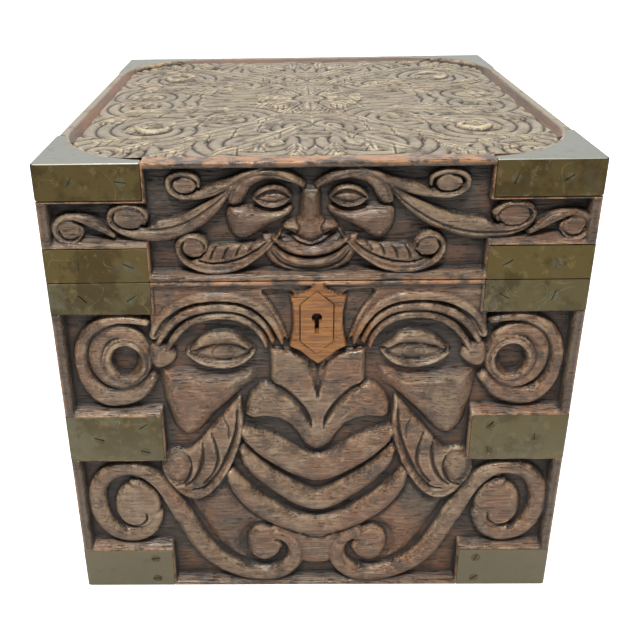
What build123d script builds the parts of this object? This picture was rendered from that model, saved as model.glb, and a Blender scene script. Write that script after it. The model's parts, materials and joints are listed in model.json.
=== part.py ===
from build123d import *
from math import atan, ceil, cos, degrees, pi, radians, tan
import os

# Carved wooden box with a hinged lid, let-in brass binding and a box lock.
# Millimetres. The origin is the centre of the underside, the carved front faces -Y and +Z is up.

# The box
box_width = 260.0
box_depth = 270.0
body_height = 191.0
lid_height = 59.0
seam_gap = 0.5
front_thickness = 20.0
wall_thickness = 15.0
floor_thickness = 10.0
floor_rebate = 6.0
top_thickness = 16.0
top_lip = 10.0
corner_lap = 8.0
corner_radius = 2.0
top_edge_chamfer = 1.5

# The carved fields
carving_depth = 6.0
frame_side = 5.0
frame_edge = 2.5
pad_line = 2.0
flank_angle = 25.0
fold_flank_angle = 0.0
facet_angle = 45.0
knob_sides = 7
petal_count = 8
top_field_margin = 5.0
top_field_radius = 55.0
top_carving_depth = 4.0

# Brass binding
brass_thickness = 1.5
brass_leg = 50.0
lid_corner_drop = 18.0
lid_rim_height = 17.0
body_rim_height = 16.5
mid_strap_height = 27.0
mid_strap_middle = 101.0
foot_height = 25.5
foot_lift = 0.5
plate_wood_line = 1.2

# Screws: a countersunk head and a pointed shank, both with few sides
screw_sides = 5
screw_head_radius = 2.7
screw_neck_radius = 1.4
screw_head_depth = 1.5
screw_tip_radius = 0.4
screw_length = 8.5
screw_corner_inset = 17.0
screw_end_inset = 9.5
screw_edge_inset = 5.5
small_screw_scale = 0.7

# Hinges, in a bevelled groove along the back of the seam
hinge_setback = 5.0
hinge_bevel = 50.0
hinge_length = 50.0
hinge_spacing = 130.0
knuckle_radius = 3.0
knuckle_gap = 0.3
leaf_thickness = 1.8
leaf_width = 9.0
pin_radius = 1.2
pin_clearance = 0.1
hinge_screw_spacing = 30.0

# The lock
lock_width = 56.0
lock_height = 40.0
lock_case_depth = 10.0
lock_plate = 1.2
selvedge_thickness = 1.6
selvedge_length = 70.0
selvedge_width = 12.0
keyhole_drop = 19.4
keyhole_radius = 2.6
keyhole_slot = 2.2
keyhole_tail = 8.6
drill_pin_radius = 1.0
loop_spacing = 28.0
loop_thickness = 2.5
loop_width = 6.4
loop_drop = 9.5
loop_eye = 4.2
loop_foot = 1.4
loop_clearance = 0.6
finger_size = 3.0
bolt_throw = 6.0
bolt_gap = 0.5
bolt_height = 5.0
bolt_slide_clearance = 0.3
talon_width = 7.0
talon_depth = 3.0
spring_thickness = 0.6
spring_reach = 18.0
spring_drop = 14.0
spring_sag = 5.0
lock_screw_inset = 4.0

# The keyhole inlay and the shield round it
inlay_width = 15.8
inlay_height = 34.0
inlay_point = 7.0
inlay_thickness = 5.0
inlay_drop = 22.2
shield_width = 29.0
shield_height = 43.9
shield_point = 15.0

# Levels and planes that follow
lid_bottom = body_height + seam_gap
total_height = lid_bottom + lid_height
half_width = box_width / 2
half_depth = box_depth / 2
front_inside = -half_depth + front_thickness
back_inside = half_depth - wall_thickness
side_inside = half_width - wall_thickness
panel_bottom = total_height - top_thickness
hinge_y = half_depth - hinge_setback
hinge_z = body_height + seam_gap / 2
keyhole_z = body_height - keyhole_drop
lock_back = front_inside - lock_case_depth
root = 1.0

os.makedirs("parts", exist_ok=True)


def front_plane(depth=0.0):
    """Sheet on the front, x to the right and y up, this deep under the face."""
    return Plane(origin=(0, -half_depth + depth, 0), x_dir=(1, 0, 0), z_dir=(0, -1, 0))


def block(x0, x1, y0, y1, z0, z1):
    """Plain block between six planes."""
    with BuildPart() as piece:
        with BuildSketch(Plane.XY.offset(z0)):
            with Locations(((x0 + x1) / 2, (y0 + y1) / 2)):
                Rectangle(x1 - x0, y1 - y0)
        extrude(amount=z1 - z0)
    return piece.part


def envelope(bottom, top):
    """The outside of the body or the lid, its upright corners rounded."""
    with BuildPart() as piece:
        with BuildSketch(Plane.XY.offset(bottom)):
            RectangleRounded(box_width, box_depth, corner_radius)
        extrude(amount=top - bottom)
        if top == total_height:
            chamfer(piece.faces().sort_by(Axis.Z)[-1].edges(), top_edge_chamfer)
    return piece.part


def core(bottom, top):
    """What the brass is wrapped round: the outside less the thickness of the brass."""
    half_x = half_width - brass_thickness
    half_y = half_depth - brass_thickness
    return block(-half_x, half_x, -half_y, half_y, bottom, top)


body_outside = envelope(0, body_height)
lid_outside = envelope(lid_bottom, total_height)
body_core = core(0, body_height)
lid_core = core(lid_bottom, total_height - brass_thickness)


def hinge_groove():
    """Wedge along the back of the seam: its two bevels meet when the lid is fully open."""
    reach = hinge_setback + 1
    rise = reach * tan(radians(hinge_bevel))
    with BuildPart() as piece:
        with BuildSketch(Plane.YZ.offset(-half_width - 1)):
            Polygon(
                (hinge_y, hinge_z),
                (hinge_y + reach, hinge_z - rise),
                (hinge_y + reach, hinge_z + rise),
                align=None,
            )
        extrude(amount=box_width + 2)
    return piece.part


groove = hinge_groove()


# Screws

def screw_blank(scale):
    """Countersunk wood screw with its flat head on the ground plane, pointing up."""
    head = screw_head_radius * scale
    neck = screw_neck_radius * scale
    sunk = screw_head_depth * scale
    flat = cos(pi / screw_sides)
    head_taper = degrees(atan((head - neck) * flat / sunk))
    shank_taper = degrees(atan((neck - screw_tip_radius) * flat / (screw_length - sunk)))
    with BuildPart() as piece:
        with BuildSketch():
            RegularPolygon(head, screw_sides)
        extrude(amount=sunk, taper=head_taper)
        with BuildSketch(Plane.XY.offset(sunk)):
            RegularPolygon(neck, screw_sides)
        extrude(amount=screw_length - sunk, taper=shank_taper)
    return piece.part.solid()


large_screw = screw_blank(1.0)
small_screw = screw_blank(small_screw_scale)


def screw(point, direction, blank=large_screw):
    """Screw with its head at a point, driven in a direction."""
    return blank.moved(Plane(origin=point, z_dir=direction).location)


def corner_screws(sx, sy, spots):
    """Screws of one corner: each spot is the distance from the corner along both legs, and a height."""
    found = []
    for along, level in spots:
        found.append(screw((sx * (half_width - along), sy * half_depth, level), (0, -sy, 0)))
        found.append(screw((sx * half_width, sy * (half_depth - along), level), (-sx, 0, 0)))
    return found


leg_end = brass_leg - screw_end_inset
mid_strap_reach = mid_strap_height / 2 - screw_edge_inset
two_in_line = (screw_corner_inset, leg_end)
screw_spots = {
    "lid_top_corner": [(along, total_height - lid_corner_drop / 2) for along in two_in_line],
    "lid_rim_strap": [(along, lid_bottom + lid_rim_height / 2) for along in two_in_line],
    "body_rim_strap": [(along, body_height - body_rim_height / 2) for along in two_in_line],
    "body_mid_strap": [
        (screw_corner_inset, mid_strap_middle),
        (leg_end, mid_strap_middle + mid_strap_reach),
        (leg_end, mid_strap_middle - mid_strap_reach),
    ],
    "body_foot_corner": [(leg_end, foot_height - screw_edge_inset), (leg_end, screw_edge_inset)],
}
corners = {"front_left": (-1, -1), "front_right": (1, -1), "back_left": (-1, 1), "back_right": (1, 1)}
brass_screws = {
    family: {corner: corner_screws(sx, sy, spots) for corner, (sx, sy) in corners.items()}
    for family, spots in screw_spots.items()
}


# Brass binding

def top_field(margin=0.0):
    """Half the sizes of the sunk field in the top, grown by a margin, and its corner radius."""
    return (
        half_width - top_field_margin + margin,
        half_depth - top_field_margin + margin,
        top_field_radius + margin,
    )


def angle_strap(sx, sy, bottom, top):
    """Strap bent round an upright corner, flush with the outside of the body or the lid."""
    outside, core = (body_outside, body_core) if top <= body_height else (lid_outside, lid_core)
    reach_x = sorted((sx * (half_width - brass_leg), sx * half_width))
    reach_y = sorted((sy * (half_depth - brass_leg), sy * half_depth))
    with BuildPart() as piece:
        add(block(*reach_x, *reach_y, bottom, top))
        add(outside, mode=Mode.INTERSECT)
        add(core, mode=Mode.SUBTRACT)
        if sy > 0:
            add(groove, mode=Mode.SUBTRACT)
    return piece.part


def top_corner_plate(sx, sy):
    """Corner plate of the lid: a top with a hollow inner edge and two legs turned down."""
    reach_x = sorted((sx * (half_width - brass_leg), sx * half_width))
    reach_y = sorted((sy * (half_depth - brass_leg), sy * half_depth))
    half_x, half_y, radius = top_field(plate_wood_line)
    with BuildPart() as piece:
        add(block(*reach_x, *reach_y, total_height - lid_corner_drop, total_height))
        add(lid_outside, mode=Mode.INTERSECT)
        add(lid_core, mode=Mode.SUBTRACT)
        with BuildSketch(Plane.XY.offset(total_height - brass_thickness)):
            RectangleRounded(2 * half_x, 2 * half_y, radius)
        extrude(amount=2 * brass_thickness, mode=Mode.SUBTRACT)
    return piece.part


strap_levels = {
    "lid_rim_strap": (lid_bottom, lid_bottom + lid_rim_height),
    "body_rim_strap": (body_height - body_rim_height, body_height),
    "body_mid_strap": (mid_strap_middle - mid_strap_height / 2, mid_strap_middle + mid_strap_height / 2),
    "body_foot_corner": (foot_lift, foot_height),
}
brass_plates = {}
for corner, (sx, sy) in corners.items():
    brass_plates["lid_top_corner", corner] = top_corner_plate(sx, sy)
    for family, (bottom, top) in strap_levels.items():
        brass_plates[family, corner] = angle_strap(sx, sy, bottom, top)

for (family, corner), plate in brass_plates.items():
    with BuildPart() as brass:
        add(plate)
        add(brass_screws[family][corner], mode=Mode.SUBTRACT)
    brass.part.label = f"{family}_{corner}"
    export_step(brass.part, f"parts/{family}_{corner}.step")

for family, by_corner in brass_screws.items():
    group = Compound(children=[piece for pieces in by_corner.values() for piece in pieces])
    group.label = f"{family}_screws"
    export_step(group, f"parts/{family}_screws.step")


# Carved work

def facets(arc):
    """Points along an arc as a chisel leaves them, one for each facet, without the last."""
    turn = degrees(arc.length / arc.radius)
    cuts = max(2, ceil(turn / facet_angle))
    return [arc @ (cut / cuts) for cut in range(cuts)]


def outline(shape, level):
    """Closed outline in drops below a level: a corner, a point on the arc that follows or None, a corner, and on."""
    dropped = [None if p is None else Vector(p[0], level - p[1]) for p in shape]
    ends = dropped[0::2]
    points = []
    for start, middle, end in zip(ends, dropped[1::2], ends[1:] + ends[:1]):
        if middle is None:
            points.append(start)
        else:
            points.extend(facets(Edge.make_three_point_arc(start, middle, end)))
    area = sum(here.X * after.Y - after.X * here.Y for here, after in zip(points, points[1:] + points[:1]))
    return points if area > 0 else points[::-1]


def mirrored(points):
    """The outline on the other side of the centre line."""
    return [Vector(-point.X, point.Y) for point in points[::-1]]


def standing(sheet, outlines, height, slope, centre=0.0):
    """Forms with sloping flanks that stand on a carved ground and are rooted under it."""
    with BuildPart() as forms:
        with BuildSketch():
            for points in outlines:
                Polygon(*points, align=None)
        extrude(amount=height + root, taper=slope)
    return forms.part.moved(sheet.offset(-root).location * Location((centre, 0, 0)))


def raised(sheet, level, shape, height, slope=flank_angle, centre=0.0):
    """Raised form and its twin."""
    points = outline(shape, level)
    return standing(sheet, [points, mirrored(points)], height, slope, centre)


def knob(sheet, level, spot, radius, height, slope=flank_angle, centre=0.0):
    """Round boss in the middle of a scroll, and its twin."""
    middle = Vector(spot[0], level - spot[1])
    points = [middle + Vector(radius, 0).rotate(Axis.Z, 360 * n / knob_sides) for n in range(knob_sides)]
    return standing(sheet, [points, mirrored(points)], height, slope, centre)


def band(sheet, level, stops, width, height, centre=0.0):
    """Carved band and its twin: an arc through three stops, then arcs that run on."""
    dropped = [(u, level - drop) for u, drop in stops]
    with BuildLine() as path:
        run = ThreePointArc(*dropped[:3])
        for stop in dropped[3:]:
            run = TangentArc(run @ 1, stop, tangent=run % 1)
    runs = path.edges()
    spots = [(run, cut / len(facets(run))) for run in runs for cut in range(len(facets(run)))] + [(runs[-1], 1)]
    across = [(run % at).rotate(Axis.Z, 90) * (width / 2) for run, at in spots]
    left = [run @ at + side for (run, at), side in zip(spots, across)]
    right = [run @ at - side for (run, at), side in zip(spots, across)]
    points = right + left[::-1]
    return standing(sheet, [points, mirrored(points)], height, fold_flank_angle, centre)


def scroll_stops(spot, radius, pitch, turns, start_up=True):
    """Stops of a two-centre spiral that winds inward by a pitch each half turn, from its outer end."""
    u, drop = spot
    sign = -1 if start_up else 1
    stops = [(u - radius, drop), (u, drop + sign * radius), (u + radius, drop)]
    left = u - radius
    right = u + radius
    for turn in range(turns):
        if turn % 2 == 0:
            left = left + pitch
            stops.append((left, drop))
        else:
            right = right - pitch
            stops.append((right, drop))
    return stops


def large_mask():
    """Raised forms of the large mask on the body, in drops below the seam."""
    sheet = front_plane(carving_depth)
    level = body_height
    forms = [
        # brows
        raised(sheet, level, [(13, 33.7), (44, 7), (80, 25), None, (70, 37), (45, 15), (19, 36), None], 5.2,
               fold_flank_angle),
        # cheeks
        raised(sheet, level, [(30, 57.5), (54, 52), (79, 56), (79, 78), (67, 95), (42, 81)], 5.0, 32),
        # nose
        raised(sheet, level, [(0, 45), None, (23, 36), (13, 48), (10, 62), (24, 60), (35, 72), (33, 84),
                              (21, 87), (10, 91), (0, 97), None], 5.6, 22),
        # upper lip
        raised(sheet, level, [(0, 106), (19, 96), (33, 79), None, (38, 84), (22, 105), (0, 118), None], 4.2,
               fold_flank_angle),
        # lower lip
        raised(sheet, level, [(0, 127), (19, 116), (32, 97), None, (38, 102), (24, 124), (0, 138), None], 4.6,
               fold_flank_angle),
        # chin
        raised(sheet, level, [(0, 145), (24, 134), (40, 111), None, (47, 117), (30, 143), (0, 157), None], 4.2,
               fold_flank_angle),
        # beard at the throat
        raised(sheet, level, [(0, 156), None, (8, 156), (10, 166), (0, 178), None], 4.0),
        # eyelids and eyeballs
        raised(sheet, level, [(28, 42), (47, 28), (66, 40), (47, 52)], 2.6, 30),
        knob(sheet, level, (47, 40), 9.0, 4.4, 40),
        # moustache leaves and the balls they curl round
        raised(sheet, level, [(37, 70), (41, 103), (57, 128), (64, 133), (71, 127), (71, 119), (65, 112),
                              (52, 98), (49, 80), None], 4.6, fold_flank_angle),
        knob(sheet, level, (74.5, 108), 7.5, 5.0),
        # ear scrolls
        band(sheet, level, scroll_stops((100, 46), 19, 8.5, 2), 6.5, 4.6),
        knob(sheet, level, (99.5, 46), 5.0, 4.4),
        # beard scrolls
        band(sheet, level, scroll_stops((103, 137), 18.5, 9.5, 2), 7.5, 5.0),
        knob(sheet, level, (103, 137), 4.2, 4.6),
        # beard locks below
        band(sheet, level, [(81, 122), (75, 152), (55, 174), (28, 179), (28, 155)], 8.0, 4.8),
        knob(sheet, level, (28, 167), 6.0, 4.4),
    ]
    return forms


def small_mask():
    """Raised forms of the small mask on the lid, in drops below its top."""
    sheet = front_plane(carving_depth)
    level = total_height
    middle = -2.0
    forms = [
        # nose
        raised(sheet, level, [(0, 13), None, (4, 14), (3.5, 20), (6, 26), (11, 27), (11, 33), (6, 35),
                              (0, 38), None], 5.0, 22, middle),
        # eyes
        raised(sheet, level, [(8, 18), (17.4, 11), (27, 17), (17.4, 23)], 3.0, 30, middle),
        # brows
        raised(sheet, level, [(2.5, 12), (21, 4), (37.5, 18), None, (33, 23), (20, 9), (6, 15), None], 4.6,
               fold_flank_angle, middle),
        # cheeks
        raised(sheet, level, [(13, 28), (26, 25), (38.5, 25.5), (38, 32), (32.5, 37), (22, 34)], 4.4, 25, middle),
        # lips
        raised(sheet, level, [(0, 38.5), (7, 36), (12, 30.5), None, (16, 33), (9, 41.5), (0, 45.5), None], 4.0,
               fold_flank_angle, middle),
        # chin
        raised(sheet, level, [(0, 50), (12, 47), (19, 38), None, (24, 41), (15, 52), (0, 56), None], 4.0,
               fold_flank_angle, middle),
        # moustache locks
        band(sheet, level, [(17, 38), (26, 49), (40, 54), (56, 50), (56, 40)], 5.0, 4.2, middle),
        knob(sheet, level, (55, 45), 3.5, 3.8, centre=middle),
        # hair scrolls
        band(sheet, level, [(45, 9), (60, 6), (70, 14), (60, 20)], 5.0, 4.4),
        band(sheet, level, [(72, 18), (84, 38), (99, 28), (88, 18), (80, 27)], 5.5, 4.6),
        band(sheet, level, [(101, 28), (109, 44), (123, 38), (118, 26)], 5.0, 4.2),
        knob(sheet, level, (89, 28), 3.5, 4.2),
        knob(sheet, level, (114, 35), 3.5, 3.8),
    ]
    return forms


def leaf(base, tip, width):
    """Pointed leaf between two points, as an outline."""
    base = Vector(*base)
    tip = Vector(*tip)
    across = (tip - base).normalized().rotate(Axis.Z, 90) * (width / 2)
    middle = (base + tip) / 2
    return [base, middle - across, tip, middle + across]


def all_round(points, offset=0.0):
    """The outline repeated round the centre of the top."""
    turns = [360 * n / petal_count + offset for n in range(petal_count)]
    return [[point.rotate(Axis.Z, turn) for point in points] for turn in turns]


def in_each_quarter(points):
    """The outline and its three mirror images."""
    behind = [Vector(point.X, -point.Y) for point in points[::-1]]
    return [points, mirrored(points), behind, mirrored(behind)]


def top_foliage():
    """Leaf sprays round a rosette in the sunk top, the same in each quarter."""
    sheet = Plane.XY.offset(total_height - top_carving_depth)
    petals = all_round(leaf((8, 0), (33, 0), 15))
    between = all_round(leaf((14, 0), (36, 0), 10), 180 / petal_count)
    sprays = [
        leaf((8, 40), (72, 96), 19),
        leaf((38, 24), (112, 30), 18),
        leaf((34, 40), (104, 76), 18),
        leaf((4, 60), (54, 120), 17),
        leaf((80, 92), (98, 110), 12),
        leaf((84, 84), (112, 96), 11),
        leaf((60, 100), (82, 120), 12),
        leaf((86, 10), (114, 8), 11),
        leaf((92, 44), (116, 56), 11),
        leaf((16, 70), (28, 118), 13),
        leaf((44, 30), (80, 8), 12),
    ]
    leaves = [twin for spray in sprays for twin in in_each_quarter(spray)]
    return [
        knob(sheet, 0, (0, 0), 8.0, 3.6, 30),
        standing(sheet, between, 2.6, fold_flank_angle),
        standing(sheet, petals + leaves, 3.3, fold_flank_angle),
    ]


def field_sketch(sheet, bottom, top, pads, growth):
    """Outline of a sunk field: the face inside its frame, less a pad for each brass strap, grown at its foot."""
    with BuildSketch(sheet) as drawn:
        with Locations((0, (bottom + top) / 2)):
            Rectangle(2 * (half_width - frame_side - growth), top - bottom - 2 * (frame_edge + growth))
        for end in (-1, 1):
            for pad_bottom, pad_top in pads:
                pad = brass_leg + pad_line + growth
                with Locations((end * (half_width - pad / 2), (pad_bottom + pad_top) / 2)):
                    Rectangle(pad, pad_top - pad_bottom + 2 * (pad_line + growth), mode=Mode.SUBTRACT)
    return drawn.sketch


def carved_away(forms, sheet, bottom, top, pads):
    """The wood taken away: down to the carved ground between sloping walls, with the forms left standing."""
    growth = carving_depth * tan(radians(flank_angle))
    with BuildPart() as piece:
        add(field_sketch(sheet, bottom, top, pads, 0))
        add(field_sketch(sheet.offset(-carving_depth), bottom, top, pads, growth))
        loft(ruled=True)
        add(forms, mode=Mode.SUBTRACT)
    return piece.part


body_pads = [strap_levels["body_rim_strap"], strap_levels["body_mid_strap"], strap_levels["body_foot_corner"]]
lid_pads = [strap_levels["lid_rim_strap"], (total_height - lid_corner_drop, total_height)]
front_sheet = front_plane()
body_front_field = (front_sheet, 0, body_height, body_pads)
lid_front_field = (front_sheet, lid_bottom, total_height, lid_pads)


def keyhole_prism(front_y, back_y):
    """Keyhole right through whatever lies between two depths."""
    with BuildPart() as piece:
        with BuildSketch(Plane(origin=(0, front_y, 0), x_dir=(1, 0, 0), z_dir=(0, -1, 0))):
            with Locations((0, keyhole_z)):
                Circle(keyhole_radius)
            with Locations((0, keyhole_z - keyhole_tail / 2)):
                Rectangle(keyhole_slot, keyhole_tail)
        extrude(amount=-(back_y - front_y))
    return piece.part


def shield():
    """Shield round the keyhole, left at the full thickness of the board, pointed below."""
    half = shield_width / 2
    foot = body_height - shield_height
    with BuildPart() as piece:
        with BuildSketch(front_plane(carving_depth + root)):
            Polygon((-half, body_height - frame_edge), (-half, foot + shield_point), (0, foot),
                    (half, foot + shield_point), (half, body_height - frame_edge), align=None)
        extrude(amount=carving_depth + root)
    return piece.part


def inlay_blank():
    """Six-sided plug let into the shield."""
    half = inlay_width / 2
    centre = body_height - inlay_drop
    tip = inlay_height / 2
    with BuildPart() as piece:
        with BuildSketch(front_plane(inlay_thickness)):
            Polygon((0, centre - tip), (half, centre - tip + inlay_point), (half, centre + tip - inlay_point),
                    (0, centre + tip), (-half, centre + tip - inlay_point), (-half, centre - tip + inlay_point),
                    align=None)
        extrude(amount=inlay_thickness)
    return piece.part


# The lock, let into the inside of the front board behind the keyhole

lock_half = lock_width / 2
case_front = lock_back
cap_front = front_inside - lock_plate
case_bottom = body_height - lock_height
selvedge_bottom = body_height - selvedge_thickness
lock_middle_y = (case_front + lock_plate + cap_front) / 2
loop_bottom = lid_bottom - loop_drop
eye_bottom = loop_bottom + loop_foot
finger_bottom = eye_bottom + (loop_eye - finger_size) / 2
bar_top = loop_bottom - bolt_gap
bar_bottom = bar_top - bolt_height
screw_x = selvedge_length / 2 - lock_screw_inset
selvedge_y = (front_inside - selvedge_width, front_inside)
loop_places = (-loop_spacing / 2, loop_spacing / 2)


def lock_screw_set():
    """Two screws down through the selvedge and two through the cap's ears."""
    middle = sum(selvedge_y) / 2
    found = []
    for side in (-1, 1):
        found.append(screw((side * screw_x, middle, body_height), (0, 0, -1), small_screw))
        found.append(screw((side * screw_x, front_inside, keyhole_z), (0, -1, 0), small_screw))
    return found


lock_screws = lock_screw_set()
link_screws = [
    screw((side * screw_x, sum(selvedge_y) / 2, lid_bottom), (0, 0, 1), small_screw) for side in (-1, 1)
]

with BuildPart() as lock_case:
    add(block(-lock_half, lock_half, case_front, cap_front, case_bottom, selvedge_bottom))
    add(block(-lock_half + lock_plate, lock_half - lock_plate, case_front + lock_plate, cap_front,
              case_bottom + lock_plate, selvedge_bottom), mode=Mode.SUBTRACT)
    add(block(-selvedge_length / 2, selvedge_length / 2, *selvedge_y, selvedge_bottom, body_height))
    slot_x = loop_thickness / 2 + loop_clearance
    slot_y = loop_width / 2 + loop_clearance
    for place in loop_places:
        add(block(place - slot_x, place + slot_x, lock_middle_y - slot_y, lock_middle_y + slot_y,
                  selvedge_bottom, body_height), mode=Mode.SUBTRACT)
    add(keyhole_prism(case_front, case_front + lock_plate), mode=Mode.SUBTRACT)
    add(lock_screws, mode=Mode.SUBTRACT)

with BuildPart() as lock_cap:
    add(block(-selvedge_length / 2, selvedge_length / 2, cap_front, front_inside, case_bottom, selvedge_bottom))
    add(lock_screws, mode=Mode.SUBTRACT)

with BuildPart() as lock_drill_pin:
    with BuildSketch(Plane(origin=(0, cap_front, keyhole_z), x_dir=(1, 0, 0), z_dir=(0, -1, 0))):
        Circle(drill_pin_radius)
    extrude(amount=cap_front - case_front - lock_plate / 2)

with BuildPart() as lock_bolt:
    guide = bolt_slide_clearance
    bolt_left = loop_places[0] - loop_thickness / 2 - 2 * bolt_gap - bolt_throw - finger_size
    bolt_right = loop_places[1]
    add(block(bolt_left, bolt_right, case_front + lock_plate + guide, cap_front - guide, bar_bottom, bar_top))
    for place in loop_places:
        tip = place - loop_thickness / 2 - bolt_gap
        heel = tip - bolt_throw - bolt_gap
        add(block(heel - finger_size, tip, lock_middle_y - finger_size / 2, lock_middle_y + finger_size / 2,
                  finger_bottom, finger_bottom + finger_size))
        add(block(heel - finger_size, heel, lock_middle_y - finger_size / 2, lock_middle_y + finger_size / 2,
                  bar_top - guide, finger_bottom + finger_size))
    add(block(-talon_width / 2, talon_width / 2, case_front, cap_front, bar_bottom, bar_bottom + talon_depth),
        mode=Mode.SUBTRACT)

with BuildPart() as lock_spring:
    rise = bar_bottom - guide - spring_thickness
    with BuildSketch(Plane(origin=(0, lock_middle_y - finger_size, 0), x_dir=(1, 0, 0), z_dir=(0, -1, 0))):
        with BuildLine():
            start = (-lock_half + lock_plate, rise - spring_drop)
            bend = (start[0] + spring_drop / 2, rise - spring_sag)
            spring_end = (start[0] + spring_reach, rise)
            lower = ThreePointArc(start, bend, spring_end)
            upper = ThreePointArc((start[0], start[1] + 2 * spring_thickness),
                                  (bend[0] - spring_thickness, bend[1] + spring_thickness),
                                  (spring_end[0], spring_end[1] + spring_thickness))
            Line(lower @ 0, upper @ 0)
            Line(lower @ 1, upper @ 1)
        make_face()
    extrude(amount=-2 * finger_size)

with BuildPart() as link_plate:
    add(block(-selvedge_length / 2, selvedge_length / 2, *selvedge_y, lid_bottom, lid_bottom + selvedge_thickness))
    for place in loop_places:
        edges = (place - loop_thickness / 2, place + loop_thickness / 2)
        add(block(*edges, lock_middle_y - loop_width / 2, lock_middle_y + loop_width / 2, loop_bottom, lid_bottom))
        add(block(*edges, lock_middle_y - loop_eye / 2, lock_middle_y + loop_eye / 2, eye_bottom,
                  eye_bottom + loop_eye), mode=Mode.SUBTRACT)
    add(link_screws, mode=Mode.SUBTRACT)


# Hinges

hinge_places = {"left": -hinge_spacing / 2, "right": hinge_spacing / 2}
knuckle_length = (hinge_length - 2 * knuckle_gap) / 3


def along_x(start, length, radius):
    """Round bar along the hinge line."""
    with BuildPart() as piece:
        with BuildSketch(Plane(origin=(start, hinge_y, hinge_z), z_dir=(1, 0, 0))):
            Circle(radius)
        extrude(amount=length)
    return piece.part


def hinge_parts(centre):
    """Body leaf, lid leaf, pin and screws of one butt hinge, and the wood that makes room for it."""
    left = centre - hinge_length / 2
    right = centre + hinge_length / 2
    inner = left + knuckle_length
    outer = right - knuckle_length
    body_knuckles = [(left, knuckle_length), (outer, knuckle_length)]
    lid_knuckle = (inner + knuckle_gap, knuckle_length)
    room = knuckle_radius + knuckle_gap
    screw_y = hinge_y - (leaf_width + knuckle_radius) / 2
    screws = {"body": [], "lid": []}
    for side in (-1, 1):
        x = centre + side * hinge_screw_spacing / 2
        screws["body"].append(screw((x, screw_y, body_height), (0, 0, -1), small_screw))
        screws["lid"].append(screw((x, screw_y, lid_bottom), (0, 0, 1), small_screw))
    with BuildPart() as body_leaf:
        add(block(left, right, hinge_y - leaf_width, hinge_y, body_height - leaf_thickness, body_height))
        for start, length in body_knuckles:
            add(along_x(start, length, knuckle_radius))
        add(block(inner, outer, hinge_y - room, hinge_y + room, hinge_z - room, hinge_z + room), mode=Mode.SUBTRACT)
        add(along_x(left, hinge_length, pin_radius), mode=Mode.SUBTRACT)
        add(screws["body"], mode=Mode.SUBTRACT)
    with BuildPart() as lid_leaf:
        add(block(left, right, hinge_y - leaf_width, hinge_y, lid_bottom, lid_bottom + leaf_thickness))
        add(along_x(*lid_knuckle, knuckle_radius))
        for start, end in ((left, inner + knuckle_gap), (outer - knuckle_gap, right)):
            add(block(start, end, hinge_y - room, hinge_y + room, hinge_z - room, hinge_z + room),
                mode=Mode.SUBTRACT)
        add(along_x(left, hinge_length, pin_radius + pin_clearance), mode=Mode.SUBTRACT)
        add(screws["lid"], mode=Mode.SUBTRACT)
    return {
        "body_leaf": body_leaf.part,
        "lid_leaf": lid_leaf.part,
        "pin": along_x(left, hinge_length, pin_radius),
        "body_screws": screws["body"],
        "lid_screws": screws["lid"],
        "room": along_x(left - knuckle_gap, hinge_length + 2 * knuckle_gap, room),
        "body_seat": block(left, right, hinge_y - leaf_width, hinge_y + 1, body_height - leaf_thickness,
                           body_height + 1),
        "lid_seat": block(left, right, hinge_y - leaf_width, hinge_y + 1, lid_bottom - 1,
                          lid_bottom + leaf_thickness),
    }


hinges = {side: hinge_parts(centre) for side, centre in hinge_places.items()}


# Wood

top_half_x = half_width - top_lip
top_half_y = half_depth - top_lip
floor_half_x = side_inside + floor_rebate
floor_y = (front_inside - floor_rebate, back_inside + floor_rebate)
floor_blank = block(-floor_half_x, floor_half_x, *floor_y, 0, floor_thickness)
top_blank = block(-top_half_x, top_half_x, -top_half_y, top_half_y, panel_bottom, total_height)


def top_carved_away():
    """The wood taken out of the top: a sunk field with sloping walls, with the foliage left standing."""
    with BuildPart() as piece:
        for drop in (0, top_carving_depth):
            half_x, half_y, radius = top_field(-drop)
            with BuildSketch(Plane.XY.offset(total_height - drop)):
                RectangleRounded(2 * half_x, 2 * half_y, radius)
        loft(ruled=True)
        add(top_foliage(), mode=Mode.SUBTRACT)
    return piece.part


top_waste = top_carved_away()


def corner_laps(bottom, top):
    """Where the ends of the side boards lie in the front and back boards."""
    return [
        block(*sorted((sx * side_inside, sx * half_width)), *span, bottom, top)
        for sx in (-1, 1)
        for span in ((front_inside - corner_lap, front_inside), (back_inside, back_inside + corner_lap))
    ]


def brass_and_screws(families, corner_names):
    """All brass and screws let into a board at the named corners."""
    found = []
    for family in families:
        for corner in corner_names:
            found.append(brass_plates[family, corner])
            found.extend(brass_screws[family][corner])
    return found


body_families = ("body_rim_strap", "body_mid_strap", "body_foot_corner")
lid_families = ("lid_top_corner", "lid_rim_strap")
front_corners = ("front_left", "front_right")
back_corners = ("back_left", "back_right")
side_corners = {-1: ("front_left", "back_left"), 1: ("front_right", "back_right")}
lock_mortise = block(-lock_half, lock_half, case_front, front_inside, case_bottom, body_height)
cap_mortise = block(-selvedge_length / 2, selvedge_length / 2, cap_front, front_inside, case_bottom,
                    selvedge_bottom)
selvedge_mortise = block(-selvedge_length / 2, selvedge_length / 2, *selvedge_y, selvedge_bottom, body_height)
link_mortise = block(-selvedge_length / 2, selvedge_length / 2, *selvedge_y, lid_bottom,
                     lid_bottom + selvedge_thickness)


def front_board(bottom, top, outside, field, forms, taken):
    """Carved front board, its ends rebated for the side boards."""
    with BuildPart() as board:
        add(block(-half_width, half_width, -half_depth, front_inside, bottom, top))
        add(outside, mode=Mode.INTERSECT)
        add([carved_away(forms, *field)] + corner_laps(bottom, top)[0::2] + taken, mode=Mode.SUBTRACT)
    return board


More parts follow.
